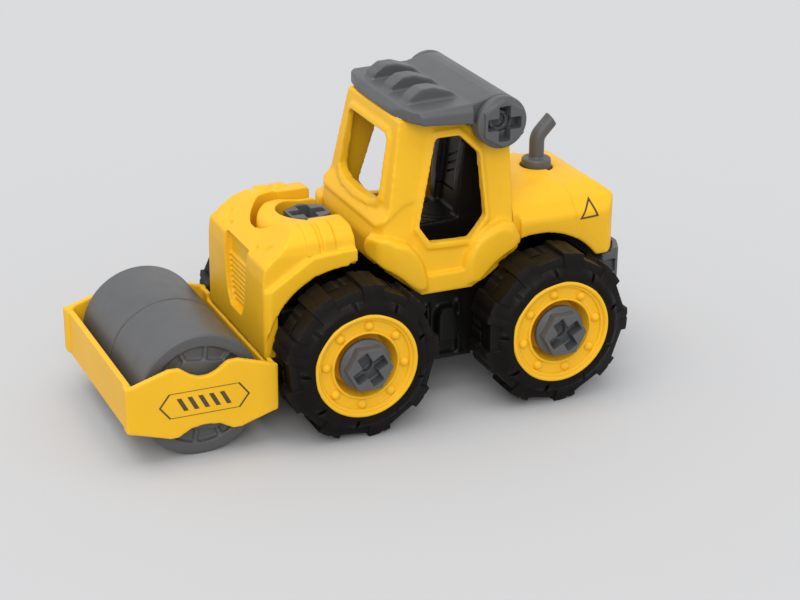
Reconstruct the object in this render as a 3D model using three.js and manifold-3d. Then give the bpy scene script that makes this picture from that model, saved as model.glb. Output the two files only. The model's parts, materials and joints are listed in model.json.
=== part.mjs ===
// Take-apart toy road roller: a free-rolling drum in a box frame, four wheels, a bolted front hood,
// a cab with a seat and a hinged roof, and a rear hood with an exhaust and a bumper.
// Millimetres, +Z up, +X towards the drum, +Y to the vehicle's left.
// The origin is on the ground under the middle of the toy. Everything is drawn with x measured from
// the rear axle, inside one group that moves it to the origin.
import * as THREE from 'three';
import { mergeVertices } from 'three/addons/utils/BufferGeometryUtils.js';
import Module from 'manifold-3d';

const wasm = await Module();
wasm.setup();

// Driving dimensions.
const REAR_AXLE_X = -46.5;        // where the rear axle is, from the middle of the toy
const WHEELBASE = 58.9;
const WHEEL_RADIUS = 22.5;        // over the tread blocks
const DRUM_RADIUS = 17.3;
const DRUM_X = 102.3;             // drum axis, from the rear axle
const DRUM_HALF_WIDTH = 26.8;
const FIT = 0.3;                  // gap between pieces that touch
const WALL = 1.8;                 // moulded wall thickness

// Wheels, along Y from the middle plane.
const TYRE_INNER_Y = 23.4;
const TYRE_OUTER_Y = 37.9;
const TREAD_INNER_Y = 23.9;
const TREAD_OUTER_Y = 35.3;
const TREAD_SPLIT_Y = 29.6;       // between the high inner and the low outer stretch of each gap
const TREAD_FLOOR_RADIUS = 18.9;  // floor of the gaps in the outer stretch
const TREAD_STEP_RADIUS = 21.2;   // floor of the gaps in the inner stretch
const TREAD_BLOCKS = 9;
const TREAD_BLOCK_ANGLE = 17;
const RIM_RADIUS = 15.1;
const RIM_WELL_Y = 30.6;          // floor of the well around the bolt
const RIM_BOSS_Y = 35.2;          // top of the boss that the bolt's flange sits on
const RIM_PANEL_Y = 36.4;         // recessed ring that carries the rivets
const RIM_BEAD_Y = 38.1;
const RIVETS = 8;
const RIVET_CIRCLE = 11.4;
const RIVET_RADIUS = 1.35;

// Bolts: a round flange, a hexagonal head and a cross slot.
const SHANK_RADIUS = 3;
const BORE_RADIUS = SHANK_RADIUS + FIT;
const HEX_RADIUS = 6.7;
const SLOT_LENGTH = 10;
const SLOT_WIDTH = 2.8;
const SLOT_DEPTH = 3;
const NUT_RADIUS = 5.6;
const NUT_THICKNESS = 3.8;
const WHEEL_BOLT_FACE_Y = 40.4;
const WHEEL_BOLT_TIP_Y = 9;
const NUT_INNER_Y = 10.3;
const AXLE_BOSS_END_Y = 22.8;
const WHEEL_BOLT_TURN = 30;

// Where each axle is, and how far its tyres and rims are turned at rest.
const AXLES = [
  { end: 'rear', x: 0, treadTurn: 8.5, rimTurn: 11 },
  { end: 'front', x: WHEELBASE, treadTurn: 12.5, rimTurn: -5 },
];

// Chassis tub.
const CHASSIS = { rear: -21.2, front: 76.2, halfWidth: 18, bottom: 11.5, top: 34 };

// Front hood and its bolt.
const HOOD = { rear: 55.6, front: 82.6, halfWidth: 24, bottom: 24.1, skirt: 34.6 };
const HOOD_BOLT_X = 61;
const HOOD_BOLT_TOP = 54.4;
const HOOD_SHELF_TOP = 46;
const HOOD_SHELF_BOTTOM = 44.2;
const WELL_CENTRE_X = 64;
const WELL_RADIUS = 13;
const WELL_SLOT_Y = 11.6;          // half-width of the slot behind the round part of the well
const SADDLE_CENTRE_X = 65;
const SADDLE_RADIUS = 10.4;
const SADDLE_REAR_X = 54.8;
const SADDLE_BORE_X = 61;
const SADDLE_BORE_RADIUS = 8.9;
const ARCH_RADIUS = WHEEL_RADIUS + 1.3;
const ARCH_INNER_Y = 22.8;
const HOOD_ARCH_INNER_Y = 18.4;   // how far in the front hood's arches reach, behind the nose

// Cab and roof.
const CAB_REAR = 8;
const HINGE_X = 13.5;
const HINGE_Z = 81.5;
const HINGE_RADIUS = 7.4;
const EAR_RADIUS = 5;
const EAR_OUTER_Y = 19.2;
const EAR_INNER_Y = 14;
const ROOF_DISC_OUTER_Y = 22.4;
const ROOF_BOLT_FACE_Y = 26.2;
const ROOF_ARCH_Y = 12.5;         // spacing of the three raised crescents

// Rear end.
const REAR_HOOD_FRONT = CAB_REAR - FIT;
const REAR_CREASE_X = -12;
const REAR_HOOD_BOTTOM = 36.9;
const REAR_END_X = -31;
const EXHAUST_X = -10.3;

// Drum frame.
const FRAME = { rear: 81.7, front: 124, outerY: 30.4, wall: WALL, wallBottom: 10.6, wallTop: 23.8 };
const DRUM_PIN_RADIUS = 2;
const DRUM_TURN = 8;              // how far the drum's hub and spokes are turned at rest
const DRUM_BARS = 6;              // bars right across each end, so twice as many spokes

const DRUM_SIDES = 32;            // sides on the drum
const ROUND = 20;                 // sides on large round shapes
const SMALL_ROUND = 12;           // sides on shanks and bores

const TAU = Math.PI * 2;
const degrees = (angle) => angle * Math.PI / 180;

// ---- Solids -------------------------------------------------------------------------------------

// A closed three.js geometry becomes a solid that can be joined and cut.
function solid(geometry) {
  const bare = geometry.index ? geometry.clone() : geometry;
  bare.deleteAttribute('normal');
  bare.deleteAttribute('uv');
  const merged = mergeVertices(bare, 1e-4);
  const triVerts = Uint32Array.from(merged.index.array);
  const vertProperties = Float32Array.from(merged.attributes.position.array);
  return new wasm.Manifold(new wasm.Mesh({ numProp: 3, vertProperties, triVerts }));
}

function union(...solids) {
  return solids.reduce((sum, next) => sum.add(next));
}

// An outline is a THREE.Shape, or a list of corners.
function asShape(outline) {
  if (outline instanceof THREE.Shape) return outline;
  return new THREE.Shape(outline.map(([u, v]) => new THREE.Vector2(u, v)));
}

function extrusion(shape, depth) {
  return new THREE.ExtrudeGeometry(shape, { depth, bevelEnabled: false, curveSegments: 6 });
}

// Outline in (x, z), drawn from y0 to y1.
function sidePrism(shape, y0, y1) {
  const geometry = extrusion(asShape(shape), y1 - y0);
  geometry.rotateX(Math.PI / 2);
  geometry.translate(0, y1, 0);
  return solid(geometry);
}

// Outline in (y, z), drawn from x0 to x1.
function frontPrism(shape, x0, x1) {
  const geometry = extrusion(asShape(shape), x1 - x0);
  const basis = new THREE.Matrix4().makeBasis(
    new THREE.Vector3(0, 1, 0),
    new THREE.Vector3(0, 0, 1),
    new THREE.Vector3(1, 0, 0),
  );
  geometry.applyMatrix4(basis);
  geometry.translate(x0, 0, 0);
  return solid(geometry);
}

// Outline in (x, y), drawn from z0 to z1.
function planPrism(shape, z0, z1) {
  const geometry = extrusion(asShape(shape), z1 - z0);
  geometry.translate(0, 0, z0);
  return solid(geometry);
}

function box(x0, x1, y0, y1, z0, z1) {
  const geometry = new THREE.BoxGeometry(x1 - x0, y1 - y0, z1 - z0);
  geometry.translate((x0 + x1) / 2, (y0 + y1) / 2, (z0 + z1) / 2);
  return solid(geometry);
}

// A cylinder along Y at (x, z), from y0 to y1.
function crossCylinder(radius, x, z, y0, y1, sides = ROUND) {
  const geometry = new THREE.CylinderGeometry(radius, radius, y1 - y0, sides);
  geometry.translate(x, (y0 + y1) / 2, z);
  return solid(geometry);
}

// A cylinder along Z at (x, 0), from z0 to z1.
function upright(radius, x, z0, z1, sides = ROUND) {
  const geometry = new THREE.CylinderGeometry(radius, radius, z1 - z0, sides);
  geometry.rotateX(Math.PI / 2);
  geometry.translate(x, 0, (z0 + z1) / 2);
  return solid(geometry);
}

// A (radius, y) profile turned about the Y axis, listed with the material on its left.
function turned(profile, sides = ROUND) {
  const points = profile.map(([radius, y]) => new THREE.Vector2(radius, y));
  return solid(new THREE.LatheGeometry(points, sides));
}

// Both sides of the vehicle: the solid made for the left, and the one made for the right.
function bothSides(make) {
  return union(make(1), make(-1));
}

function span(side, inner, outer) {
  return side > 0 ? [inner, outer] : [-outer, -inner];
}

// Symmetric outline from its right-hand half, listed from the bottom to the top.
function mirrored(half) {
  const left = half.filter(([u]) => u > 0).map(([u, v]) => [-u, v]).reverse();
  return [...half, ...left];
}

// A (x, y) outline with a round nose towards +X and straight sides back to rearX.
function uShape(centreX, radius, rearX) {
  const shape = new THREE.Shape();
  shape.moveTo(rearX, -radius);
  shape.lineTo(centreX, -radius);
  shape.absarc(centreX, 0, radius, -Math.PI / 2, Math.PI / 2, false);
  shape.lineTo(rearX, radius);
  shape.closePath();
  return shape;
}

// A ring sector in (x, z) about the roof hinge.
function hingeSector(inner, outer, from, to) {
  const shape = new THREE.Shape();
  shape.absarc(HINGE_X, HINGE_Z, outer, degrees(from), degrees(to), false);
  shape.absarc(HINGE_X, HINGE_Z, inner, degrees(to), degrees(from), true);
  shape.closePath();
  return shape;
}

// ---- Materials and meshes -----------------------------------------------------------------------

const YELLOW = { color: 0xf0b41e, roughness: 0.38, metalness: 0 };
const GREY = { color: 0x65686c, roughness: 0.5, metalness: 0 };
const BLACK = { color: 0x211f1f, roughness: 0.55, metalness: 0 };
const TYRE_BLACK = { color: 0x262423, roughness: 0.7, metalness: 0 };
const STEEL = { color: 0xb8babd, roughness: 0.3, metalness: 1 };

function meshOf(name, body, finish) {
  const { vertProperties, triVerts, numProp } = body.getMesh();
  const positions = new Float32Array((vertProperties.length / numProp) * 3);
  for (let vertex = 0; vertex < vertProperties.length / numProp; vertex += 1) {
    for (let axis = 0; axis < 3; axis += 1) {
      positions[vertex * 3 + axis] = vertProperties[vertex * numProp + axis];
    }
  }
  const geometry = new THREE.BufferGeometry();
  geometry.setAttribute('position', new THREE.BufferAttribute(positions, 3));
  geometry.setIndex(new THREE.BufferAttribute(Uint32Array.from(triVerts), 1));
  geometry.computeVertexNormals();
  const mesh = new THREE.Mesh(geometry, new THREE.MeshStandardMaterial(finish));
  mesh.name = name;
  return mesh;
}

// ---- Fasteners ----------------------------------------------------------------------------------

// A bolt along Y: shank from tipY to the flange, flange from flangeY, hexagonal head up to faceY.
function boltAlongY(tipY, flangeY, faceY, flangeRadius, flangeThickness) {
  const shank = crossCylinder(SHANK_RADIUS, 0, 0, tipY, flangeY + 0.5, SMALL_ROUND);
  const flange = crossCylinder(flangeRadius, 0, 0, flangeY, flangeY + flangeThickness);
  const head = crossCylinder(HEX_RADIUS, 0, 0, flangeY, faceY, 6);
  const long = SLOT_LENGTH / 2;
  const narrow = SLOT_WIDTH / 2;
  const top = faceY + 1;
  const slotAcross = box(-long, long, faceY - SLOT_DEPTH, top, -narrow, narrow);
  const slotUp = box(-narrow, narrow, faceY - SLOT_DEPTH, top, -long, long);
  return union(shank, flange, head).subtract(union(slotAcross, slotUp));
}

function nutAlongY(innerY) {
  const body = crossCylinder(NUT_RADIUS, 0, 0, innerY, innerY + NUT_THICKNESS, 6);
  return body.subtract(crossCylinder(BORE_RADIUS, 0, 0, innerY - 1, innerY + NUT_THICKNESS + 1, SMALL_ROUND));
}

// ---- Wheels -------------------------------------------------------------------------------------

// A stretch of tread: a disc whose outline steps between the block tops and the floor of the gaps.
function treadStretch(y0, y1, floorRadius) {
  const pitch = 360 / TREAD_BLOCKS;
  const half = TREAD_BLOCK_ANGLE / 2;
  const outline = [];
  for (let block = 0; block < TREAD_BLOCKS; block += 1) {
    const middle = block * pitch - 90;
    const corners = [
      [floorRadius, -half - 1],
      [WHEEL_RADIUS, -half],
      [WHEEL_RADIUS, 0],
      [WHEEL_RADIUS, half],
      [floorRadius, half + 1],
    ];
    for (const [radius, angle] of corners) {
      const along = degrees(middle + angle);
      outline.push([radius * Math.cos(along), radius * Math.sin(along)]);
    }
  }
  return sidePrism(outline, y0, y1);
}

function tyreBody() {
  const seat = RIM_RADIUS + FIT;
  const carcass = turned([
    [seat, 24.6],
    [17, TYRE_INNER_Y],
    [TREAD_FLOOR_RADIUS, TREAD_INNER_Y],
    [TREAD_FLOOR_RADIUS + 0.6, TREAD_OUTER_Y - 0.6],
    [18.6, 37],
    [17, TYRE_OUTER_Y],
    [seat, 37.7],
    [seat, 24.6],
  ]);
  const outerStretch = treadStretch(TREAD_SPLIT_Y, TREAD_OUTER_Y, TREAD_FLOOR_RADIUS);
  const innerStretch = treadStretch(TREAD_INNER_Y, TREAD_SPLIT_Y, TREAD_STEP_RADIUS);
  return union(carcass, outerStretch, innerStretch).subtract(crossCylinder(seat, 0, 0, 20, 40));
}

function rimBody() {
  const disc = turned([
    [BORE_RADIUS, 25],
    [5.6, 25],
    [5.6, 28.6],
    [9.8, 28.6],
    [10.4, 34.6],
    [13.4, 34.6],
    [13.4, 25],
    [RIM_RADIUS, 25],
    [RIM_RADIUS, RIM_BEAD_Y - 0.5],
    [14.7, RIM_BEAD_Y],
    [13.7, RIM_BEAD_Y],
    [13.2, RIM_PANEL_Y],
    [10, RIM_PANEL_Y],
    [9.7, RIM_PANEL_Y + 0.8],
    [9.2, RIM_PANEL_Y + 0.8],
    [8, RIM_WELL_Y],
    [5.4, RIM_WELL_Y],
    [5.4, RIM_BOSS_Y],
    [BORE_RADIUS, RIM_BOSS_Y],
    [BORE_RADIUS, 25],
  ]);
  const rivets = Array.from({ length: RIVETS }, (_, index) => {
    const angle = index * TAU / RIVETS;
    const dome = new THREE.SphereGeometry(RIVET_RADIUS, 6, 4);
    dome.translate(RIVET_CIRCLE * Math.cos(angle), RIM_PANEL_Y, RIVET_CIRCLE * Math.sin(angle));
    return solid(dome);
  });
  return union(disc, ...rivets);
}

// A wheel with its bolt and nut, drawn for the left-hand side about its own axle.
function wheelMeshes(corner, treadTurn, rimTurn) {
  const boltBody = boltAlongY(WHEEL_BOLT_TIP_Y, RIM_BOSS_Y + FIT, WHEEL_BOLT_FACE_Y, 7.4, 2);
  const tyre = meshOf(`${corner}_tyre`, tyreBody(), TYRE_BLACK);
  const rim = meshOf(`${corner}_rim`, rimBody(), YELLOW);
  const bolt = meshOf(`${corner}_wheel_bolt`, boltBody, GREY);
  tyre.rotation.y = degrees(treadTurn);
  rim.rotation.y = degrees(rimTurn);
  bolt.rotation.y = degrees(WHEEL_BOLT_TURN);
  return [tyre, rim, bolt, meshOf(`${corner}_axle_nut`, nutAlongY(NUT_INNER_Y), BLACK)];
}

// ---- Chassis and seat ---------------------------------------------------------------------------

function chassisBody() {
  const { rear, front, halfWidth, bottom, top } = CHASSIS;
  const inside = halfWidth - 2;
  const hull = box(rear, front, -halfWidth, halfWidth, bottom, top);
  const hollow = box(rear + 2, front - 2, -inside, inside, bottom + 2.4, top + 1);
  const sideDetail = bothSides((side) => {
    const [panelIn, panelOut] = span(side, halfWidth - 1, halfWidth + 3);
    const [lipIn, lipOut] = span(side, halfWidth - 1, halfWidth + 1.6);
    const panel = sidePrism([[24.4, 17.6], [30, 17.6], [30, 24.4], [29, 27.6], [25.4, 27.6], [24.4, 24.4]],
      panelIn, panelOut);
    const lip = box(19, 40, lipIn, lipOut, bottom, bottom + 1.6);
    const ribs = [22.4, 32, 34.4].map((x) => box(x, x + 1, lipIn, lipOut, bottom + 1, 28.4));
    return union(panel, lip, ...ribs);
  });
  const bosses = [0, WHEELBASE].flatMap((x) => [1, -1].map((side) => {
    const [inner, outer] = span(side, NUT_INNER_Y - 0.3, AXLE_BOSS_END_Y);
    return crossCylinder(7.6, x, WHEEL_RADIUS, inner, outer, 16);
  }));
  const tower = upright(8, HOOD_BOLT_X, bottom, HOOD_SHELF_BOTTOM - FIT);
  const body = union(hull.subtract(hollow), sideDetail, ...bosses, tower);
  const axleCuts = [0, WHEELBASE].flatMap((x) => [1, -1].map((side) => {
    const [inner, outer] = span(side, WHEEL_BOLT_TIP_Y - 3, AXLE_BOSS_END_Y + 1);
    const [pocketIn, pocketOut] = span(side, WHEEL_BOLT_TIP_Y - 3, NUT_INNER_Y + NUT_THICKNESS + FIT);
    const bore = crossCylinder(BORE_RADIUS, x, WHEEL_RADIUS, inner, outer, SMALL_ROUND);
    const pocket = crossCylinder(NUT_RADIUS + FIT, x, WHEEL_RADIUS, pocketIn, pocketOut, 6);
    return union(bore, pocket);
  }));
  const towerBore = upright(BORE_RADIUS, HOOD_BOLT_X, bottom - 1, 60, SMALL_ROUND);
  const towerPocket = upright(NUT_RADIUS + FIT, HOOD_BOLT_X, bottom - 1, 36.4, 6);
  return body.subtract(union(...axleCuts, towerBore, towerPocket));
}

function seatBody() {
  const floor = box(11, 44, -15.5, 15.5, 40.5, 42.5);
  const cushion = sidePrism([[11, 42], [32, 42], [33.6, 46.5], [31.8, 49.6], [11, 50]], -9.7, 9.7);
  const back = [[10.4, 42], [18, 49], [16.6, 62], [15.6, 73.2], [11.6, 73.2], [10.4, 60]];
  const bolster = [[10.6, 48], [19.6, 48], [18.8, 62], [17.2, 72.2], [11.8, 72.2], [10.6, 60]];
  const backrest = sidePrism(back, -7, 7);
  const bolsters = bothSides((side) => sidePrism(bolster, ...span(side, 5.4, 9.4)));
  return union(floor, cushion, backrest, bolsters);
}

// ---- Front hood ---------------------------------------------------------------------------------

function frontHoodBody() {
  const { rear, front, halfWidth, bottom } = HOOD;
  const profile = [[rear, HOOD.skirt], [76.4, HOOD.skirt], [76.4, bottom], [front, bottom], [front, 44],
    [82.1, 48.3], [72, 56.9], [rear, 57]];
  const section = mirrored([[halfWidth, bottom], [halfWidth, 50.6], [22.6, 50.9], [21.8, 53.6], [18.8, 56.2],
    [14.6, 57]]);
  const plan = [[rear, -halfWidth], [81.2, -halfWidth], [front, -22.4], [front, 22.4], [81.2, halfWidth],
    [rear, halfWidth]];
  const outer = sidePrism(profile, -halfWidth, halfWidth)
    .intersect(frontPrism(section, rear, front))
    .intersect(planPrism(plan, bottom, 60));
  const cavityProfile = [[rear - 1, bottom - 1], [77.3, bottom - 1], [77.3, 48.4], [71.4, 54.4],
    [rear - 1, 54.8]];
  const cavitySection = mirrored([[20.8, bottom - 1], [20.8, 50], [17.6, 53.8], [13.8, 54.6]]);
  const cavity = sidePrism(cavityProfile, -halfWidth, halfWidth)
    .intersect(frontPrism(cavitySection, rear - 1, front));
  const tabRooms = bothSides((side) => box(76.6, 79, ...span(side, 8.4, 16.6), bottom - 1, 32.6));
  const wellOutline = uShape(WELL_CENTRE_X, WELL_RADIUS + 1.6, rear);
  const wellWall = planPrism(wellOutline, HOOD_SHELF_BOTTOM, 60).intersect(outer);
  const roundWell = upright(WELL_RADIUS, WELL_CENTRE_X, HOOD_SHELF_TOP, 60, 32)
    .intersect(box(65.6, front, -halfWidth, halfWidth, HOOD_SHELF_TOP, 60));
  const well = union(roundWell, box(rear - 1, 66, -WELL_SLOT_Y, WELL_SLOT_Y, HOOD_SHELF_TOP, 60));
  const ribs = bothSides((side) => union(...[61.6, 66.3].map((x) => {
    const [inner, outerY] = span(side, 15, 23.4);
    const wrap = frontPrism(mirrored([[23.2, 50], [22.4, 53.9], [19.2, 56.8], [15, 57.6]]), x, x + 3.5);
    return wrap.intersect(box(x, x + 3.5, inner, outerY, 50, 58));
  })));
  const arches = bothSides((side) => {
    const arch = (inner) => crossCylinder(ARCH_RADIUS, WHEELBASE, WHEEL_RADIUS, ...span(side, inner, halfWidth + 5));
    const behindNose = box(rear - 1, 78.6, -30, 30, 0, 60);
    return union(arch(ARCH_INNER_Y), arch(HOOD_ARCH_INNER_Y).intersect(behindNose));
  });
  const grilleOutline = mirrored([[3.2, 28.6], [6.2, 34], [7.8, 40.5], [8.9, 48.4]]);
  const grille = frontPrism(grilleOutline, front - 2.4, front + 1);
  const fins = [31, 33.6, 36.2, 38.8].map((z) => box(front - 3, front - 1.6, -9.2, 9.2, z, z + 1));
  const bolt = upright(BORE_RADIUS, HOOD_BOLT_X, 40, 60, SMALL_ROUND);
  const shell = union(outer.subtract(cavity), wellWall).subtract(union(well, arches, bolt, grille, tabRooms));
  const finsInside = union(...fins).intersect(grille);
  return union(shell, ribs.subtract(well), finsInside);
}

function boltSaddleBody() {
  const base = HOOD_SHELF_TOP + FIT;
  const rear = SADDLE_REAR_X;
  const profile = [[rear, base], [75.4, base], [75.4, 51.6], [74, 53.8], [70.5, 55.4], [66, 55.3], [60, 54.5],
    [rear, 54.4]];
  const dome = sidePrism(profile, -SADDLE_RADIUS, SADDLE_RADIUS);
  const outer = planPrism(uShape(SADDLE_CENTRE_X, SADDLE_RADIUS, rear), base, 56).intersect(dome);
  const seat = planPrism(uShape(SADDLE_BORE_X, SADDLE_BORE_RADIUS, rear - 1), 48.4, 60);
  const bore = upright(BORE_RADIUS, HOOD_BOLT_X, base - 1, 60, SMALL_ROUND);
  return outer.subtract(union(seat, bore));
}

// The hood bolt is drawn along Y and stood upright.
function stoodUp(body, name, finish) {
  const mesh = meshOf(name, body, finish);
  mesh.rotation.x = Math.PI / 2;
  mesh.position.x = HOOD_BOLT_X;
  return mesh;
}

// ---- Drum and its frame -------------------------------------------------------------------------

function drumHalf() {
  const shell = turned([
    [DRUM_PIN_RADIUS + FIT, 14],
    [5, 14],
    [5, DRUM_HALF_WIDTH - 3],
    [DRUM_RADIUS - 2, DRUM_HALF_WIDTH - 3],
    [DRUM_RADIUS - 2, FIT / 2],
    [DRUM_RADIUS, FIT / 2],
    [DRUM_RADIUS, DRUM_HALF_WIDTH - 0.8],
    [DRUM_RADIUS - 0.8, DRUM_HALF_WIDTH],
    [DRUM_RADIUS - 3.4, DRUM_HALF_WIDTH],
    [DRUM_RADIUS - 3.8, DRUM_HALF_WIDTH - 1.2],
    [DRUM_PIN_RADIUS + FIT, DRUM_HALF_WIDTH - 1.2],
    [DRUM_PIN_RADIUS + FIT, 14],
  ], DRUM_SIDES);
  const plate = new THREE.CylinderGeometry(11.4, 11.4, 2, 6);
  plate.rotateY(degrees(30 - DRUM_TURN));
  plate.translate(0, DRUM_HALF_WIDTH - 1, 0);
  const spokes = Array.from({ length: DRUM_BARS }, (_, index) => {
    const bar = new THREE.BoxGeometry(2 * (DRUM_RADIUS - 3), 1.4, 1);
    bar.rotateY(-degrees(DRUM_TURN + index * 180 / DRUM_BARS));
    bar.translate(0, DRUM_HALF_WIDTH - 1.1, 0);
    return solid(bar);
  });
  const pin = crossCylinder(DRUM_PIN_RADIUS + FIT, 0, 0, 10, 40, SMALL_ROUND);
  return union(shell, solid(plate), ...spokes).subtract(pin);
}

function drumFrameBody() {
  const { rear, front, outerY, wall, wallBottom, wallTop } = FRAME;
  const innerY = outerY - wall;
  const sideHalf = [[0, 10.3], [4, 9.8], [7.6, 7.8], [9.8, 7.7], [20.5, 11], [20.5, 24.2], [9.6, 27.6],
    [6.6, 27.4], [3.6, 25.2], [1.4, 24.3], [0, 24.2]];
  const reflected = sideHalf.slice(1, -1).map(([u, v]) => [-u, v]).reverse();
  const outline = [...sideHalf, ...reflected].map(([u, v]) => [u + DRUM_X, v]);
  const plates = bothSides((side) => sidePrism(outline, ...span(side, innerY, outerY)));
  const walls = union(
    box(rear, rear + 1.3, -outerY + 0.5, outerY - 0.5, wallBottom, wallTop),
    box(front - wall - 0.8, front - 0.8, -outerY + 0.5, outerY - 0.5, wallBottom, wallTop),
  );
  const borders = bothSides((side) => {
    const [inner, outer] = span(side, outerY - 3.4, outerY);
    return box(front - wall, front, inner, outer, 11.2, 24.2);
  });
  const corners = bothSides((side) => box(rear, DRUM_X - 19, ...span(side, innerY, outerY), 11.2, 24.2));
  const tabs = bothSides((side) => union(
    box(76.7, rear + 1, ...span(side, 9, 16), 22, wallTop),
    box(76.7, 78.3, ...span(side, 9, 16), 22, 32),
  ));
  const sockets = bothSides((side) => {
    const [inner, outer] = span(side, innerY - 1, innerY + 0.5);
    return crossCylinder(4.6, DRUM_X, DRUM_RADIUS, inner, outer);
  });
  const body = union(plates, walls, borders, corners, tabs, sockets);
  const pinEnd = outerY - 0.7;
  const pinBore = crossCylinder(DRUM_PIN_RADIUS + FIT, DRUM_X, DRUM_RADIUS, -pinEnd, pinEnd, SMALL_ROUND);
  return body.subtract(pinBore);
}

// ---- Cab and roof -------------------------------------------------------------------------------

function cabBody() {
  const profile = [[CAB_REAR, 44.6], [20.6, 34.6], [38, 34.6], [50.5, 44.6], [50.5, 50.5], [48.6, 55],
    [45.4, 58.8], [41.2, 83], [20.3, 81.3], [CAB_REAR, 80.4]];
  const section = mirrored([[22.9, 34.6], [22.2, 51.5], [17.7, 83.1]]);
  const outer = sidePrism(profile, -30, 30).intersect(frontPrism(section, CAB_REAR, 51));
  const cavityProfile = [[CAB_REAR + WALL, 30], [48.7, 30], [48.7, 50], [46.8, 54.2], [43.6, 58], [39.4, 90],
    [CAB_REAR + WALL, 90]];
  const cavitySection = mirrored([[21.1, 30], [20.4, 51.5], [15, 90]]);
  const cavity = sidePrism(cavityProfile, -30, 30).intersect(frontPrism(cavitySection, CAB_REAR, 50));
  const fenders = bothSides((side) => {
    const [inner, outerY] = span(side, 21.6, 25.4);
    const front = sidePrism([[34.1, 34.6], [37.2, 34.6], [51, 46.3], [51.8, 49], [50.6, 51.4], [47, 52.2],
      [43.5, 51.3], [40.8, 49.9], [38, 47], [35.9, 43.2], [34.4, 38.2]], inner, outerY);
    const rear = sidePrism([[19.2, 34.6], [23.8, 34.6], [24, 40.7], [23.3, 44], [20.6, 48.4],
      [16.4, 51.1], [12.2, 52.4], [9.4, 52.1], [6.8, 49], [6.1, 46.2], [6.6, 43.5], [9, 41.4],
      [16.8, 35.7]], inner, outerY);
    const sill = box(22, 36, ...span(side, 21.6, 24.2), 34.6, 39.8);
    return union(front, rear, sill);
  });
  const arches = bothSides((side) => {
    const [inner, outerY] = span(side, ARCH_INNER_Y, 32);
    return union(
      crossCylinder(ARCH_RADIUS, WHEELBASE, WHEEL_RADIUS, inner, outerY),
      crossCylinder(ARCH_RADIUS, 0, WHEEL_RADIUS, inner, outerY),
    );
  });
  const sideWindow = sidePrism([[21.7, 48.4], [33.5, 48.8], [37, 53.8], [30.9, 77.4], [23.6, 77.4],
    [17.9, 71.8], [16.8, 54.2]], -30, 30);
  const frontWindow = frontPrism(mirrored([[13, 58.4], [14.2, 60.2], [13.4, 77], [12, 78.4]]), 36, 60);
  const hingeRoom = crossCylinder(HINGE_RADIUS + FIT, HINGE_X, HINGE_Z, -30, 30);
  const ears = bothSides((side) => {
    const disc = crossCylinder(EAR_RADIUS, HINGE_X, HINGE_Z, ...span(side, EAR_INNER_Y, EAR_OUTER_Y));
    const neck = sidePrism([[HINGE_X + 0.7, HINGE_Z - 2.5], [HINGE_X + 1.1, HINGE_Z - 9.5],
      [HINGE_X + 2.3, HINGE_Z - 10.5], [HINGE_X + 7.8, HINGE_Z - 4.9], [HINGE_X + 8.3, HINGE_Z - 2.5],
      [HINGE_X + 3, HINGE_Z]], ...span(side, EAR_INNER_Y + 1, 18.2));
    return union(disc, neck);
  });
  const bore = crossCylinder(BORE_RADIUS, HINGE_X, HINGE_Z, -30, 30, SMALL_ROUND);
  const holes = union(arches, sideWindow, frontWindow, hingeRoom);
  const shell = union(outer.subtract(cavity), fenders).subtract(holes);
  return union(shell, ears).subtract(bore);
}

function roofBody() {
  const profile = [[16, 82.2], [20.3, 81.7], [41, 83.3], [41.4, 84.2], [39.6, 86.5], [21.5, 87.2],
    [14.9, 88.9], [13.5, 86]];
  const plan = [[14, -22.4], [21.3, -22.4], [21.6, -24], [36.6, -24], [39, -21], [40.9, -12], [41.5, 0],
    [40.9, 12], [39, 21], [36.6, 24], [21.6, 24], [21.3, 22.4], [14, 22.4]];
  const section = mirrored([[24, 80], [24, 84.6], [22.6, 86.8], [22.4, 92]]);
  const plate = sidePrism(profile, -25, 25)
    .intersect(planPrism(plan, 78, 92))
    .intersect(frontPrism(section, 13, 42));
  const shell = sidePrism(hingeSector(HINGE_RADIUS - 2, HINGE_RADIUS, 10, 190), -19.8, 19.8);
  const discs = bothSides((side) => crossCylinder(HINGE_RADIUS, HINGE_X, HINGE_Z,
    ...span(side, EAR_OUTER_Y + 0.4, ROOF_DISC_OUTER_Y)));
  const crescents = [-ROOF_ARCH_Y, 0, ROOF_ARCH_Y].map((y) => {
    const crescent = new THREE.Shape();
    crescent.moveTo(37.6, 86);
    crescent.quadraticCurveTo(35.6, 89.4, 31, 90.6);
    crescent.quadraticCurveTo(26, 90.2, 21.8, 86.6);
    crescent.closePath();
    return sidePrism(crescent, y - 2.6, y + 2.6);
  });
  const room = crossCylinder(HINGE_RADIUS - 2, HINGE_X, HINGE_Z, -19.6, 19.6);
  const bore = crossCylinder(BORE_RADIUS, HINGE_X, HINGE_Z, -30, 30, SMALL_ROUND);
  return union(plate.subtract(room), shell, discs, ...crescents).subtract(bore);
}

// ---- Rear end -----------------------------------------------------------------------------------

// Half of the barrel's cross-section, from its skirt up to the crown, grown outwards by `grow`.
function barrelSection(grow) {
  return mirrored([[22 + grow, 30], [22.2 + grow, 50.4], [21.4 + grow, 52.6 + grow],
    [19.2 + grow, 54.7 + grow], [17.2, 55.8 + grow], [14.1, 57.1 + grow], [10.9, 57.9 + grow],
    [6, 58.1 + grow]]);
}

// Plan of the tail from one side to the other, pulled in by `inset`, ending at x = frontX.
function tailPlan(inset, frontX) {
  const half = [[frontX, 23.2 - inset], [-21.6, 23.2 - inset], [-24.6 + inset, 20.2 - inset],
    [-27.4 + inset, 15.5 - inset], [-28.4 + inset, 8 - inset], [-28.6 + inset, 0]];
  const reflected = half.slice(0, -1).map(([x, y]) => [x, -y]).reverse();
  return [...half, ...reflected];
}

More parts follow.
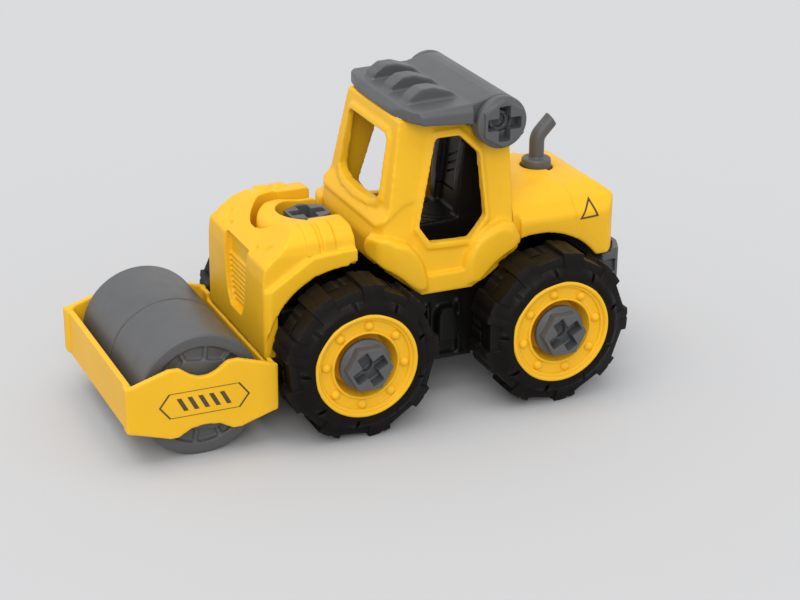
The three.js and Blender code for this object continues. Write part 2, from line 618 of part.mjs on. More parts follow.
function rearHoodBody() {
  const front = REAR_HOOD_FRONT;
  const bottom = REAR_HOOD_BOTTOM;
  const barrel = frontPrism(barrelSection(0.5), REAR_CREASE_X, front)
    .intersect(box(REAR_CREASE_X, front, -30, 30, bottom, 70));
  const tailProfile = [[REAR_CREASE_X + 1, bottom], [REAR_CREASE_X + 1, 59], [-16, 58], [-21.5, 56.6],
    [-25, 54.4], [-27.6, 51], [-28.6, 46.6], [-28.6, bottom]];
  const tail = frontPrism(barrelSection(0), -29, REAR_CREASE_X + 1)
    .intersect(planPrism(tailPlan(0, REAR_CREASE_X + 1), bottom, 70))
    .intersect(sidePrism(tailProfile, -30, 30));
  const cavityProfile = [[-26.8, bottom - 1], [-26.8, 46.2], [-25.9, 50], [-23.8, 52.7],
    [-20.8, 54.7], [-15.6, 56.1], [front + 1, 56.2], [front + 1, bottom - 1]];
  const cavity = sidePrism(cavityProfile, -30, 30)
    .intersect(planPrism(tailPlan(1.8, front + 1), bottom - 1, 70))
    .intersect(frontPrism(barrelSection(-1.8), -30, front + 1));
  const arches = crossCylinder(ARCH_RADIUS + 0.2, 0, WHEEL_RADIUS, -30, 30);
  const fenderRooms = bothSides((side) => box(5.6, front + 1, ...span(side, 21.3, 24), 40.8, 52.8));
  const stackHole = upright(4.8, EXHAUST_X, 50, 70);
  return union(barrel, tail).subtract(union(cavity, arches, fenderRooms, stackHole));
}

function exhaustBody() {
  const collar = upright(4, EXHAUST_X, 56.8, 60.8);
  const foot = upright(6, EXHAUST_X, 53.8, 55.6);
  const neck = upright(3.6, EXHAUST_X, 55.2, 57.2);
  const route = new THREE.CatmullRomCurve3([
    new THREE.Vector3(EXHAUST_X, 0, 59),
    new THREE.Vector3(EXHAUST_X, 0, 64.6),
    new THREE.Vector3(EXHAUST_X - 1, 0, 67),
    new THREE.Vector3(EXHAUST_X - 4.8, 0, 71.7),
  ]);
  const circle = new THREE.Shape().absarc(0, 0, 2.2, 0, TAU, false);
  const along = { steps: 7, curveSegments: 5, bevelEnabled: false, extrudePath: route };
  return union(collar, foot, neck, solid(new THREE.ExtrudeGeometry(circle, along)));
}

function bumperBody() {
  const front = CHASSIS.rear - FIT;
  const plan = [[front, -21.4], [-26.9, -21], [-29.6, -15], [REAR_END_X, 0], [-29.6, 15], [-26.9, 21],
    [front, 21.4]];
  const profile = [[front, 28.5], [-29.6, 28.5], [REAR_END_X, 30], [REAR_END_X, 36.2], [-29.4, 37.8],
    [front, 37.8]];
  const body = planPrism(plan, 28, 38).intersect(sidePrism(profile, -30, 30));
  const hoodRoom = planPrism(tailPlan(-FIT, REAR_CREASE_X), REAR_HOOD_BOTTOM - FIT, 40);
  const wheelRooms = bothSides((side) => {
    const [inner, outer] = span(side, 18.3, 30);
    return crossCylinder(ARCH_RADIUS + 0.2, 0, WHEEL_RADIUS, inner, outer);
  });
  const recesses = bothSides((side) => box(-26, front + 1, ...span(side, 19.4, 24), 30.4, 34.4));
  return body.subtract(union(hoodRoom, wheelRooms, recesses));
}

// ---- Assembly -----------------------------------------------------------------------------------

const vehicle = new THREE.Group();
vehicle.position.x = REAR_AXLE_X;

for (const { end, x, treadTurn, rimTurn } of AXLES) {
  for (const [hand, turn] of [['left', 0], ['right', Math.PI]]) {
    const wheel = new THREE.Group();
    wheel.position.set(x, 0, WHEEL_RADIUS);
    wheel.rotation.z = turn;
    wheel.add(...wheelMeshes(`${end}_${hand}`, treadTurn, rimTurn));
    vehicle.add(wheel);
  }
}

for (const [hand, turn] of [['left', 0], ['right', Math.PI]]) {
  const drum = new THREE.Group();
  drum.position.set(DRUM_X, 0, DRUM_RADIUS);
  drum.rotation.z = turn;
  drum.add(meshOf(`drum_${hand}_half`, drumHalf(), GREY));
  vehicle.add(drum);
}

const drumPinEnd = FRAME.outerY - 1;
const drumPin = crossCylinder(DRUM_PIN_RADIUS, DRUM_X, DRUM_RADIUS, -drumPinEnd, drumPinEnd, SMALL_ROUND);
vehicle.add(
  meshOf('drum_axle', drumPin, STEEL),
  meshOf('drum_frame', drumFrameBody(), YELLOW),
  meshOf('chassis', chassisBody(), BLACK),
  meshOf('seat', seatBody(), BLACK),
  meshOf('front_hood', frontHoodBody(), YELLOW),
  meshOf('bolt_saddle', boltSaddleBody(), YELLOW),
  meshOf('cab_shell', cabBody(), YELLOW),
  meshOf('rear_hood', rearHoodBody(), YELLOW),
  meshOf('exhaust_stack', exhaustBody(), GREY),
  meshOf('rear_bumper', bumperBody(), GREY),
  meshOf('roof', roofBody(), GREY),
);

const hoodBolt = boltAlongY(30, 48.7, HOOD_BOLT_TOP, 7.6, 1.6);
vehicle.add(stoodUp(hoodBolt, 'hood_bolt', GREY), stoodUp(nutAlongY(32.3), 'hood_nut', BLACK));

for (const [hand, turn] of [['left', 0], ['right', Math.PI]]) {
  const hinge = new THREE.Group();
  hinge.position.set(HINGE_X, 0, HINGE_Z);
  hinge.rotation.z = turn;
  const bolt = boltAlongY(EAR_INNER_Y, ROOF_DISC_OUTER_Y + FIT, ROOF_BOLT_FACE_Y, HINGE_RADIUS, 2.6);
  hinge.add(meshOf(`roof_bolt_${hand}`, bolt, GREY));
  vehicle.add(hinge);
}

const group = new THREE.Group();
group.add(vehicle);
export default group;
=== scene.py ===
import json
import math

import bmesh
import bpy
from mathutils import Matrix, Vector


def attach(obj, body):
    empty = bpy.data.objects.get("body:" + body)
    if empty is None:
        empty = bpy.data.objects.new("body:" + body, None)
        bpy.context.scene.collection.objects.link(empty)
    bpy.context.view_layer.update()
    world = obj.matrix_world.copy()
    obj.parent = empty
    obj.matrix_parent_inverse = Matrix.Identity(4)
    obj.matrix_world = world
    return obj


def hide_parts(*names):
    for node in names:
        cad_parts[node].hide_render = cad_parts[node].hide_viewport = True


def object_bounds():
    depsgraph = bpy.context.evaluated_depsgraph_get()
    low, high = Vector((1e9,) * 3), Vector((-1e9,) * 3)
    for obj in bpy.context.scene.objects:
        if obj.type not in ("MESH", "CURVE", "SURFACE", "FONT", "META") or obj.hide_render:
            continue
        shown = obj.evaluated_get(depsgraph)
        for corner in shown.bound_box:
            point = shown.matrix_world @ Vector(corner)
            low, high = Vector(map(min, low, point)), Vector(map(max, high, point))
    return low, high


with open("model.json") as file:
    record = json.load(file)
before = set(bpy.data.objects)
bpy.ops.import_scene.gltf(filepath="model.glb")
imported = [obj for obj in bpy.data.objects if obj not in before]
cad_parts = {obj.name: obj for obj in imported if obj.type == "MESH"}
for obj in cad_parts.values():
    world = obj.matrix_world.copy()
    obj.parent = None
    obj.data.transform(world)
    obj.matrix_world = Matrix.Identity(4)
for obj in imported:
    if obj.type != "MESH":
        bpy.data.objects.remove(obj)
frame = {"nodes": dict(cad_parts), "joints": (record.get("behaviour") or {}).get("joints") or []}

CAD_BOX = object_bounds()

# Everything is drawn in millimetres, with x measured from the rear axle, and moved to the frame at the end.
# The frame is in metres, with its origin on the ground under the middle of the toy.
JOINT_PLACES = {joint["name"]: Vector(joint["pos_m"]) * 1000 for joint in frame["joints"]}
REAR_AXLE_X = JOINT_PLACES["rear_left_wheel_spin"].x
WHEELBASE = JOINT_PLACES["front_left_wheel_spin"].x - REAR_AXLE_X
WHEEL_RADIUS = JOINT_PLACES["rear_left_wheel_spin"].z
DRUM_X = JOINT_PLACES["drum_spin"].x - REAR_AXLE_X
DRUM_RADIUS = JOINT_PLACES["drum_spin"].z
HINGE_X = JOINT_PLACES["roof_tilt"].x - REAR_AXLE_X
HINGE_Z = JOINT_PLACES["roof_tilt"].z
TO_FRAME = Matrix.Scale(0.001, 4) @ Matrix.Translation((REAR_AXLE_X, 0, 0))

# Wheels. The turns are in degrees, as they stand at rest.
TREAD_BLOCKS = 9
TREAD_TURN = {"rear": 8.5, "front": 12.5}
TREAD_STEP_Y = 29.6           # between the high inner and the low outer stretch of each gap
TREAD_STEP_RADIUS = 21.2
TREAD_FLOOR_RADIUS = 19.2
BLOCK_FOOT_ANGLE = 10.1       # from a block's middle to the foot of its slope
BLOCK_SLOPE_ANGLE = 1.7
RIM_TURN = {"rear": 11, "front": -5}
RIVETS = 8
RIVET_CIRCLE = 11.4
RIVET_RADIUS = 1.42
ARCH_RADIUS = WHEEL_RADIUS + 1.3
TAIL_ARCH_RADIUS = ARCH_RADIUS + 0.2
ARCH_INNER_Y = 22.8

# Bolts and what they go through.
SHANK_RADIUS = 3
BORE_RADIUS = 3.3
HEX_RADIUS = 6.7
SLOT_REACH = 5
SLOT_HALF_WIDTH = 1.7
SLOT_DEPTH = 4
PILOT_DEPTH = 5.6
WHEEL_BOLT_TURN = 30
NUT_POCKET_RADIUS = 6

# Drum and its frame.
DRUM_HALF_WIDTH = 26.8
DRUM_BORE_RADIUS = 2.3
DRUM_TURN = 8
FRAME_REAR_X = 81.7
FRAME_FRONT_X = 124
FRAME_OUTER_Y = 30.4
FRAME_PLATE = 1.8
FRAME_REAR_WALL = 1.3

# Front hood and the saddle in its well.
HOOD_REAR_X = 55.6
HOOD_FRONT_X = 82.6
HOOD_BOTTOM = 22.2
HOOD_SKIRT = 34.6
HOOD_HALF_WIDTH = 24
HOOD_ARCH_INNER_Y = 18.4      # how far in the front hood's arches reach, behind the nose
NOSE_REAR_X = 76.4
HOOD_BOLT_X = 61
RIB_PLACES = (61.6, 66.3)
RIB_WIDTH = 3.5
WELL_CENTRE_X = 64
WELL_RADIUS = 13
WELL_FLOOR = 46
SADDLE_REAR_X = 54.8
SADDLE_FLOOR = 46.3

# Cab and rear hood.
CAB_REAR_X = 8
EAR_OUTER_Y = 19.2
HINGE_RADIUS = 7.4
REAR_HOOD_FRONT_X = 7.7
REAR_CREASE_X = -12
REAR_HOOD_BOTTOM = 36.9
EXHAUST_X = -10.3


# ---- Solids in millimetres ----------------------------------------------------------------------

def as_object(shape):
    mesh = bpy.data.meshes.new("solid")
    bmesh.ops.recalc_face_normals(shape, faces=shape.faces)
    shape.to_mesh(mesh)
    shape.free()
    body = bpy.data.objects.new("solid", mesh)
    bpy.context.scene.collection.objects.link(body)
    return body


def bezier(start, bend, end, share):
    return start * (1 - share) ** 2 + bend * (2 * share * (1 - share)) + end * share ** 2


def rounded(corners, radius=0.8, steps=4):
    """The outline with every corner turned into a curve. A corner's third number is a radius of its own."""
    outline = []
    for index, corner in enumerate(corners):
        here = Vector(corner[:2])
        before = Vector(corners[index - 1][:2]) - here
        after = Vector(corners[(index + 1) % len(corners)][:2]) - here
        wanted = corner[2] if len(corner) > 2 else radius
        if wanted == 0:
            outline.append(here)
            continue
        reach = wanted / math.tan(before.angle(after) / 2)
        reach = min(reach, before.length * 0.45, after.length * 0.45)
        start = here + before.normalized() * reach
        end = here + after.normalized() * reach
        outline += [bezier(start, here, end, step / steps) for step in range(steps + 1)]
    return outline


PLACES = {
    "side": lambda u, v, depth: (u, depth, v),
    "front": lambda u, v, depth: (depth, u, v),
    "plan": lambda u, v, depth: (u, v, depth),
}


def prism(outline, low, high, facing="side"):
    """A side outline is in (x, z) and runs along y; front is (y, z) along x; plan is (x, y) along z."""
    place = PLACES[facing]
    shape = bmesh.new()
    lower = [shape.verts.new(place(point[0], point[1], low)) for point in outline]
    upper = [shape.verts.new(place(point[0], point[1], high)) for point in outline]
    shape.faces.new(lower)
    shape.faces.new(upper)
    for index in range(len(outline)):
        shape.faces.new((lower[index - 1], lower[index], upper[index], upper[index - 1]))
    return as_object(shape)


def block(x0, x1, y0, y1, z0, z1):
    return prism([(x0, z0), (x1, z0), (x1, z1), (x0, z1)], y0, y1)


def lathe(profile, sides=96):
    """A (radius, y) profile turned about the Y axis. It closes on itself, or starts and ends on the axis."""
    shape = bmesh.new()
    rings = []
    for radius, y in profile:
        if radius == 0:
            rings.append([shape.verts.new((0, y, 0))])
            continue
        angles = [math.tau * side / sides for side in range(sides)]
        rings.append([shape.verts.new((radius * math.cos(a), y, radius * math.sin(a))) for a in angles])
    closes = profile[0][0] > 0
    following = rings[1:] + rings[:1] if closes else rings[1:]
    for ring, after in zip(rings, following):
        for side in range(sides):
            corners = [ring[side % len(ring)], ring[(side + 1) % sides % len(ring)],
                       after[(side + 1) % sides % len(after)], after[side % len(after)]]
            shape.faces.new(list(dict.fromkeys(corners)))
    return as_object(shape)


def cylinder(radius, low, high, x=0, z=0, sides=64):
    """A cylinder along Y."""
    body = lathe([(0, low), (radius, low), (radius, high), (0, high)], sides)
    return moved(body, x, 0, z)


def upright(radius, x, low, high, sides=64):
    body = lathe([(0, low), (radius, low), (radius, high), (0, high)], sides)
    return moved(stood_up(body), x, 0, 0)


def ball(radius, x, y, z):
    shape = bmesh.new()
    bmesh.ops.create_uvsphere(shape, u_segments=20, v_segments=12, radius=radius)
    return moved(as_object(shape), x, y, z)


def moved(body, x, y, z):
    body.data.transform(Matrix.Translation((x, y, z)))
    return body


def turned(body, angle, axis="Y"):
    body.data.transform(Matrix.Rotation(math.radians(angle), 4, axis))
    return body


def stood_up(body):
    return turned(body, 90, "X")


def baked(body):
    """Applies the modifiers."""
    depsgraph = bpy.context.evaluated_depsgraph_get()
    mesh = bpy.data.meshes.new_from_object(body.evaluated_get(depsgraph))
    body.modifiers.clear()
    body.data = mesh
    return body


def combined(base, operation, others):
    for other in others:
        modifier = base.modifiers.new(operation, "BOOLEAN")
        modifier.operation = operation
        modifier.solver = "MANIFOLD"
        modifier.object = other
    baked(base)
    for other in others:
        bpy.data.objects.remove(other)
    return base


def joined(base, *others):
    return combined(base, "UNION", others)


def cut(base, *others):
    return combined(base, "DIFFERENCE", others)


def common(base, *others):
    return combined(base, "INTERSECT", others)


def softened(body, voxel=0.45, passes=4):
    """Remeshes the solid evenly and relaxes it, which rounds every edge a little."""
    even = body.modifiers.new("even", "REMESH")
    even.mode = "VOXEL"
    even.voxel_size = voxel
    relax = body.modifiers.new("relax", "SMOOTH")
    relax.factor = 0.5
    relax.iterations = passes
    return baked(body)


def span(side, inner, outer):
    return (inner, outer) if side > 0 else (-outer, -inner)


def both_sides(make):
    return [make(side) for side in (1, -1)]


def mirrored(half):
    """A symmetric outline from its right-hand half, listed from the bottom to the top."""
    left = [(-corner[0], *corner[1:]) for corner in half if corner[0] > 0]
    return [*half, *reversed(left)]


def mirrored_plan(half):
    """A symmetric (x, y) outline from one half. A corner on the middle line isn't repeated."""
    other_half = [(corner[0], -corner[1], *corner[2:]) for corner in reversed(half) if corner[1]]
    return [*half, *other_half]


def grown(outline, amount):
    """The outline with every corner moved away from its middle by a share of the distance."""
    middle = sum((Vector(corner[:2]) for corner in outline), Vector((0, 0))) / len(outline)
    return [middle + (Vector(corner[:2]) - middle) * amount for corner in outline]


def u_shape(centre_x, radius, rear_x, steps=40):
    """A plan outline with a round nose towards +x and straight sides back to rear_x."""
    nose = [math.pi * (step / steps - 0.5) for step in range(steps + 1)]
    arc = [(centre_x + radius * math.cos(a), radius * math.sin(a)) for a in nose]
    return [(rear_x, -radius), *arc, (rear_x, radius)]


# ---- Materials ----------------------------------------------------------------------------------

def noise(nodes, links, coordinates, scale, detail=2.0):
    texture = nodes.new("ShaderNodeTexNoise")
    texture.inputs["Scale"].default_value = scale
    texture.inputs["Detail"].default_value = detail
    links.new(coordinates, texture.inputs["Vector"])
    return texture.outputs["Fac"]


def remapped(nodes, links, value, low, high, from_low=0.3, from_high=0.7):
    ranged = nodes.new("ShaderNodeMapRange")
    ranged.inputs["From Min"].default_value = from_low
    ranged.inputs["From Max"].default_value = from_high
    ranged.inputs["To Min"].default_value = low
    ranged.inputs["To Max"].default_value = high
    links.new(value, ranged.inputs["Value"])
    return ranged.outputs["Result"]


def mixed(nodes, links, share, first, second):
    """Mixes two colours; each is a colour or the output of a node."""
    mix = nodes.new("ShaderNodeMix")
    mix.data_type = "RGBA"
    links.new(share, mix.inputs["Factor"])
    for socket, colour in ((mix.inputs[6], first), (mix.inputs[7], second)):
        if isinstance(colour, tuple):
            socket.default_value = (*colour, 1)
        else:
            links.new(colour, socket)
    return mix.outputs[2]


def moulded(name, colour, edge_highlight, roughness, grain, specular=0.5, metallic=0.0):
    """Moulded plastic: cloudy pigment, convex edges painted lighter as a painted highlight, uneven gloss and
    a fine grain in the surface.
    """
    material = bpy.data.materials.new(name)
    material.use_nodes = True
    nodes = material.node_tree.nodes
    links = material.node_tree.links
    shader = nodes["Principled BSDF"]
    shader.inputs["Specular IOR Level"].default_value = specular
    shader.inputs["Metallic"].default_value = metallic
    coordinates = nodes.new("ShaderNodeTexCoord").outputs["Object"]

    deeper = tuple(channel * 0.93 for channel in colour)
    clouds = remapped(nodes, links, noise(nodes, links, coordinates, 70, 3), 0, 1)
    pigment = mixed(nodes, links, clouds, colour, deeper)
    # Painted highlight: convex edges, found by pointiness, are painted a lighter colour, broken up by fine
    # noise.
    pointiness = nodes.new("ShaderNodeNewGeometry").outputs["Pointiness"]
    edges = remapped(nodes, links, pointiness, 0, 0.5, 0.53, 0.62)
    highlight_breakup = remapped(nodes, links, noise(nodes, links, coordinates, 900, 4), 0.2, 1)
    edge_highlight_share = nodes.new("ShaderNodeMath")
    edge_highlight_share.operation = "MULTIPLY"
    links.new(edges, edge_highlight_share.inputs[0])
    links.new(highlight_breakup, edge_highlight_share.inputs[1])
    links.new(mixed(nodes, links, edge_highlight_share.outputs[0], pigment, edge_highlight), shader.inputs["Base Color"])

    gloss = noise(nodes, links, coordinates, 160, 3)
    uneven = remapped(nodes, links, gloss, roughness - 0.05, roughness + 0.05)
    links.new(uneven, shader.inputs["Roughness"])

    waviness = nodes.new("ShaderNodeBump")
    waviness.inputs["Strength"].default_value = 0.25
    waviness.inputs["Distance"].default_value = 0.0002
    links.new(noise(nodes, links, coordinates, 110, 1), waviness.inputs["Height"])
    texture = nodes.new("ShaderNodeBump")
    texture.inputs["Strength"].default_value = grain
    texture.inputs["Distance"].default_value = 0.00004
    links.new(noise(nodes, links, coordinates, 3200, 3), texture.inputs["Height"])
    links.new(waviness.outputs["Normal"], texture.inputs["Normal"])
    links.new(texture.outputs["Normal"], shader.inputs["Normal"])
    return material


# The second colour of each finish is its painted highlight along convex edges.
FINISHES = {
    "yellow_plastic": moulded("yellow plastic", (0.86, 0.475, 0.016), (0.96, 0.6, 0.06), 0.42, 0.3, 0.22),
    "grey_plastic": moulded("grey plastic", (0.088, 0.089, 0.092), (0.15, 0.15, 0.15), 0.42, 0.35, 0.4),
    "black_plastic": moulded("black plastic", (0.006, 0.0055, 0.005), (0.03, 0.028, 0.026), 0.4, 0.3, 0.2),
    "tyre_black": moulded("tyre rubber", (0.0045, 0.0035, 0.003), (0.03, 0.027, 0.025), 0.46, 0.35, 0.12),
    "steel": moulded("steel rod", (0.55, 0.55, 0.56), (0.7, 0.7, 0.7), 0.28, 0.3, 0.5, 1.0),
}
STRIPE_INK = moulded("stripe ink", (0.055, 0.035, 0.012), (0.12, 0.08, 0.03), 0.45, 0.3)


def piece(body, name, rides, slot, nodes=(), finish=None):
    """Moves a finished solid into the frame, gives it its slot's finish, hangs it on the body it rides on and
    hides the CAD nodes it stands for.
    """
    body.data.transform(TO_FRAME)
    body.name = name
    body.data.name = name
    body.data.materials.clear()
    body.data.materials.append(finish or FINISHES[slot])
    body.data.shade_smooth()
    body.data.set_sharp_from_angle(angle=math.radians(42))
    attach(body, rides)
    if nodes:
        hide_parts(*nodes)
    return body


def printed(body, name):
    """A thin printed mark, which stands for no CAD node and takes no slot."""
    body.data.transform(TO_FRAME)
    body.name = name
    body.data.materials.clear()
    body.data.materials.append(STRIPE_INK)
    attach(body, "body")


# ---- Fasteners and wheels -----------------------------------------------------------------------

def hexagon(radius, first_angle=0):
    corners = [math.radians(first_angle + 60 * corner) for corner in range(6)]
    return [(radius * math.cos(angle), radius * math.sin(angle)) for angle in corners]


def bolt(tip_y, flange_y, face_y, flange_radius, flange_thickness):
    """A bolt along Y: shank, flange and hexagonal head, with a deep cross slot for the toy screwdriver."""
    shank_end = flange_y + 0.5
    shank_profile = [(0, tip_y, 0), (SHANK_RADIUS, tip_y), (SHANK_RADIUS, shank_end), (0, shank_end, 0)]
    shank = lathe(rounded(shank_profile, 0.5))
    flange_top = flange_y + flange_thickness
    flange = lathe(rounded([(0, flange_y, 0), (flange_radius, flange_y), (flange_radius, flange_top - 0.7),
                            (flange_radius - 1.4, flange_top), (0, flange_top, 0)], 0.3))
    head = prism(rounded(hexagon(HEX_RADIUS, 90), 0.5), flange_y, face_y)
    arm = [(-SLOT_REACH, -SLOT_HALF_WIDTH), (SLOT_REACH, -SLOT_HALF_WIDTH),
           (SLOT_REACH, SLOT_HALF_WIDTH), (-SLOT_REACH, SLOT_HALF_WIDTH)]
    slots = [turned(prism(rounded(arm, 0.3), face_y - SLOT_DEPTH, face_y + 1), turn) for turn in (0, 90)]
    pilot = cylinder(2, face_y - PILOT_DEPTH, face_y + 1)
    body = joined(flange, head, shank)
    return softened(cut(body, *slots, pilot), 0.18, 1)


def tread_height(offset, y):
    """Radius of the tyre at an angle from the nearest block's middle, across the tread at y."""
    gap_radius = TREAD_STEP_RADIUS if y < TREAD_STEP_Y else TREAD_FLOOR_RADIUS
    share = (BLOCK_FOOT_ANGLE - abs(offset)) / BLOCK_SLOPE_ANGLE
    share = max(0.0, min(1.0, share))
    return gap_radius + (WHEEL_RADIUS - gap_radius) * share


def tyre_section(offset):
    """The closed (radius, y) section of the tyre at an angle from the nearest block's middle."""
    inner_side = [(15.4, 24.9), (16.4, 23.9), (18, 23.4), (18.7, 23.6)]
    across_tread = (24.4, 25.2, 27.4, 29.45, 29.75, 31.6, 33.4, 34.7, 35.3)
    tread = [(tread_height(offset, y), y) for y in across_tread]
    shoulder = (20.3, 36.15) if abs(offset) < 9 else (18.95, 36)
    outer_side = [(18.35, 36.85), (17.7, 37.45), (16.9, 37.85), (16.1, 37.9), (15.55, 37.6), (15.4, 37.1)]
    return [*inner_side, *tread, shoulder, *outer_side]


def tyre():
    """Sections joined in a ring. Known fault: each block's sections go from its middle forwards and then
    start again behind it, so the strips between the two runs fold across the gaps of the tread."""
    pitch = 360 / TREAD_BLOCKS
    ahead = [0, 4, 7.9, 8.4, 9.2, 10.1, 10.7, 13, 16.5, pitch / 2]
    behind = [-offset for offset in ahead[-2:0:-1]]
    shape = bmesh.new()
    columns = []
    for block_index in range(TREAD_BLOCKS):
        for offset in [*ahead, *behind]:
            angle = math.radians(block_index * pitch - 90 + offset)
            along = math.cos(angle)
            up = math.sin(angle)
            columns.append([shape.verts.new((r * along, y, r * up)) for r, y in tyre_section(offset)])
    count = len(columns[0])
    for index, column in enumerate(columns):
        before = columns[index - 1]
        for row in range(count):
            shape.faces.new((before[row - 1], before[row], column[row], column[row - 1]))
    return as_object(shape)


def rim():
    """Disc with a recessed ring of rivets, a well round the bolt and a boss under its flange."""
    profile = [(BORE_RADIUS, 25), (5.6, 25), (5.6, 28.6), (9.8, 28.6), (10.4, 34.6), (13.4, 34.6), (13.4, 25),
               (15.1, 25), (15.1, 37.4), (14.75, 38.1, 0.6), (13.9, 38.1, 0.6), (13.55, 37.2), (13, 37.1),
               (12.75, 36.4), (10.1, 36.4), (9.8, 37.2, 0.5), (9.2, 37.2, 0.5), (8, 30.6), (5.4, 30.6),
               (5.4, 35.2), (BORE_RADIUS, 35.2)]
    disc = lathe(rounded(profile, 0.3, 3), 128)
    angles = [math.tau * index / RIVETS for index in range(RIVETS)]
    places = [(RIVET_CIRCLE * math.cos(angle), RIVET_CIRCLE * math.sin(angle)) for angle in angles]
    rivets = [ball(RIVET_RADIUS, x, 36.3, z) for x, z in places]
    return joined(disc, *rivets)


def wheel_arch(axle_x, inner=ARCH_INNER_Y):
    """What the arches over both wheels of an axle take away."""
    return both_sides(lambda side: cylinder(ARCH_RADIUS, *span(side, inner, 34), axle_x, WHEEL_RADIUS, 96))


def add_wheels():
    for end, axle_x in (("rear", 0), ("front", WHEELBASE)):
        for hand, half_turn in (("left", 0), ("right", 180)):
            corner = f"{end}_{hand}"
            parts = {
                "tyre": (turned(tyre(), TREAD_TURN[end]), "tyre_black"),
                "rim": (turned(rim(), RIM_TURN[end]), "yellow_plastic"),
                "wheel_bolt": (turned(bolt(9, 35.5, 40.4, 7.4, 2), WHEEL_BOLT_TURN), "grey_plastic"),
            }
            for part, (body, slot) in parts.items():
                turned(body, half_turn, "Z")
                moved(body, axle_x, 0, WHEEL_RADIUS)
                piece(body, f"{corner}_{part}_skin", f"{corner}_wheel", slot, [f"{corner}_{part}"])


# ---- Drum and its frame -------------------------------------------------------------------------

def drum_half():
    """Hollow half drum with a rim, a web, a hexagonal plate and 12 spokes at its outer end."""
    radius = DRUM_RADIUS
    end = DRUM_HALF_WIDTH
    bore = DRUM_BORE_RADIUS
    profile = [(bore, 14), (5, 14), (5, end - 3), (radius - 2, end - 3), (radius - 2, 0.15),
               (radius, 0.15, 0.35), (radius, end, 0.5), (14, end, 0.2), (13.6, end - 1.3), (bore, end - 1.3)]
    shell = lathe(rounded(profile, 0.3, 3), 160)
    plate = prism(rounded(hexagon(11.4), 0.8), end - 2, end)
    bars = [turned(block(-14.2, 14.2, end - 2, end - 0.4, -0.5, 0.5), angle) for angle in range(0, 180, 30)]
    half = cut(joined(shell, plate, *bars), cylinder(bore, 10, 40))
    return turned(softened(half, 0.36, 1), -DRUM_TURN)


def add_drum():
    for hand, half_turn in (("left", 0), ("right", 180)):
        half = turned(drum_half(), half_turn, "Z")
        moved(half, DRUM_X, 0, DRUM_RADIUS)
        piece(half, f"drum_{hand}_skin", "drum", "grey_plastic", [f"drum_{hand}_half"])


def frame_side_outline():
    half = [(0, 10.3), (4, 9.8), (7.6, 7.8), (9.8, 7.7), (20.5, 11), (20.5, 24.2), (9.6, 27.6), (6.6, 27.4),
            (3.6, 25.2), (1.4, 24.3), (0, 24.2)]
    return [(u + DRUM_X, v) for u, v in mirrored(half)]


def add_drum_frame():
    outer = FRAME_OUTER_Y
    inner = outer - FRAME_PLATE
    wall_end = outer - 0.5
    rear = FRAME_REAR_X
    rear_wall_front = rear + FRAME_REAR_WALL
    front = FRAME_FRONT_X
    plates = both_sides(lambda side: prism(rounded(frame_side_outline(), 0.7), *span(side, inner, outer)))
    body = joined(
        plates[0],
        plates[1],
        block(rear, rear_wall_front, -wall_end, wall_end, 10.6, 21.9),
        *both_sides(lambda side: block(rear, rear_wall_front, *span(side, 24.4, wall_end), 10.6, 23.8)),
        block(front - 2.6, front - 0.8, -wall_end, wall_end, 10.6, 23.8),
        *both_sides(lambda side: block(front - 1.8, front, *span(side, outer - 3.4, outer), 11.2, 24.2)),
        *both_sides(lambda side: block(rear, DRUM_X - 19, *span(side, inner, outer), 11.2, 24.2)),
        *both_sides(lambda side: block(76.7, rear + 1, *span(side, 9, 16), 20, 21.8)),
        *both_sides(lambda side: block(76.7, 78.3, *span(side, 9, 16), 20, 32)),
        *both_sides(lambda side: cylinder(4.6, *span(side, inner - 1, inner + 0.5), DRUM_X, DRUM_RADIUS)),
    )
    cut(body, cylinder(DRUM_BORE_RADIUS, 0.7 - outer, outer - 0.7, DRUM_X, DRUM_RADIUS))
    softened(body, 0.36, 3)
    piece(body, "drum_frame_skin", "body", "yellow_plastic", ["drum_frame"])


def add_frame_stripes():
    """Printed panel on each side plate: a thin pointed outline with slanted bars inside."""
    panel = [(89.8, 17.3), (92.6, 13.7), (112.4, 13.7), (115.2, 17.3), (112.4, 20.9), (92.6, 20.9)]
    bar = [(0, 15.4), (1.3, 15.4), (3.3, 19.2), (2, 19.2)]
    for side in (1, -1):
        film = span(side, FRAME_OUTER_Y - 0.25, FRAME_OUTER_Y + 0.06)
        outline = cut(prism(panel, *film), prism(grown(panel, 0.955), -40, 40))
        bars = [prism([(x + u, v) for u, v in bar], *film) for x in range(95, 110, 3)]
        joined(outline, *bars)
        hand = "left" if side > 0 else "right"
        printed(outline, f"frame_stripes_{hand}")


# ---- Chassis and seat ---------------------------------------------------------------------------

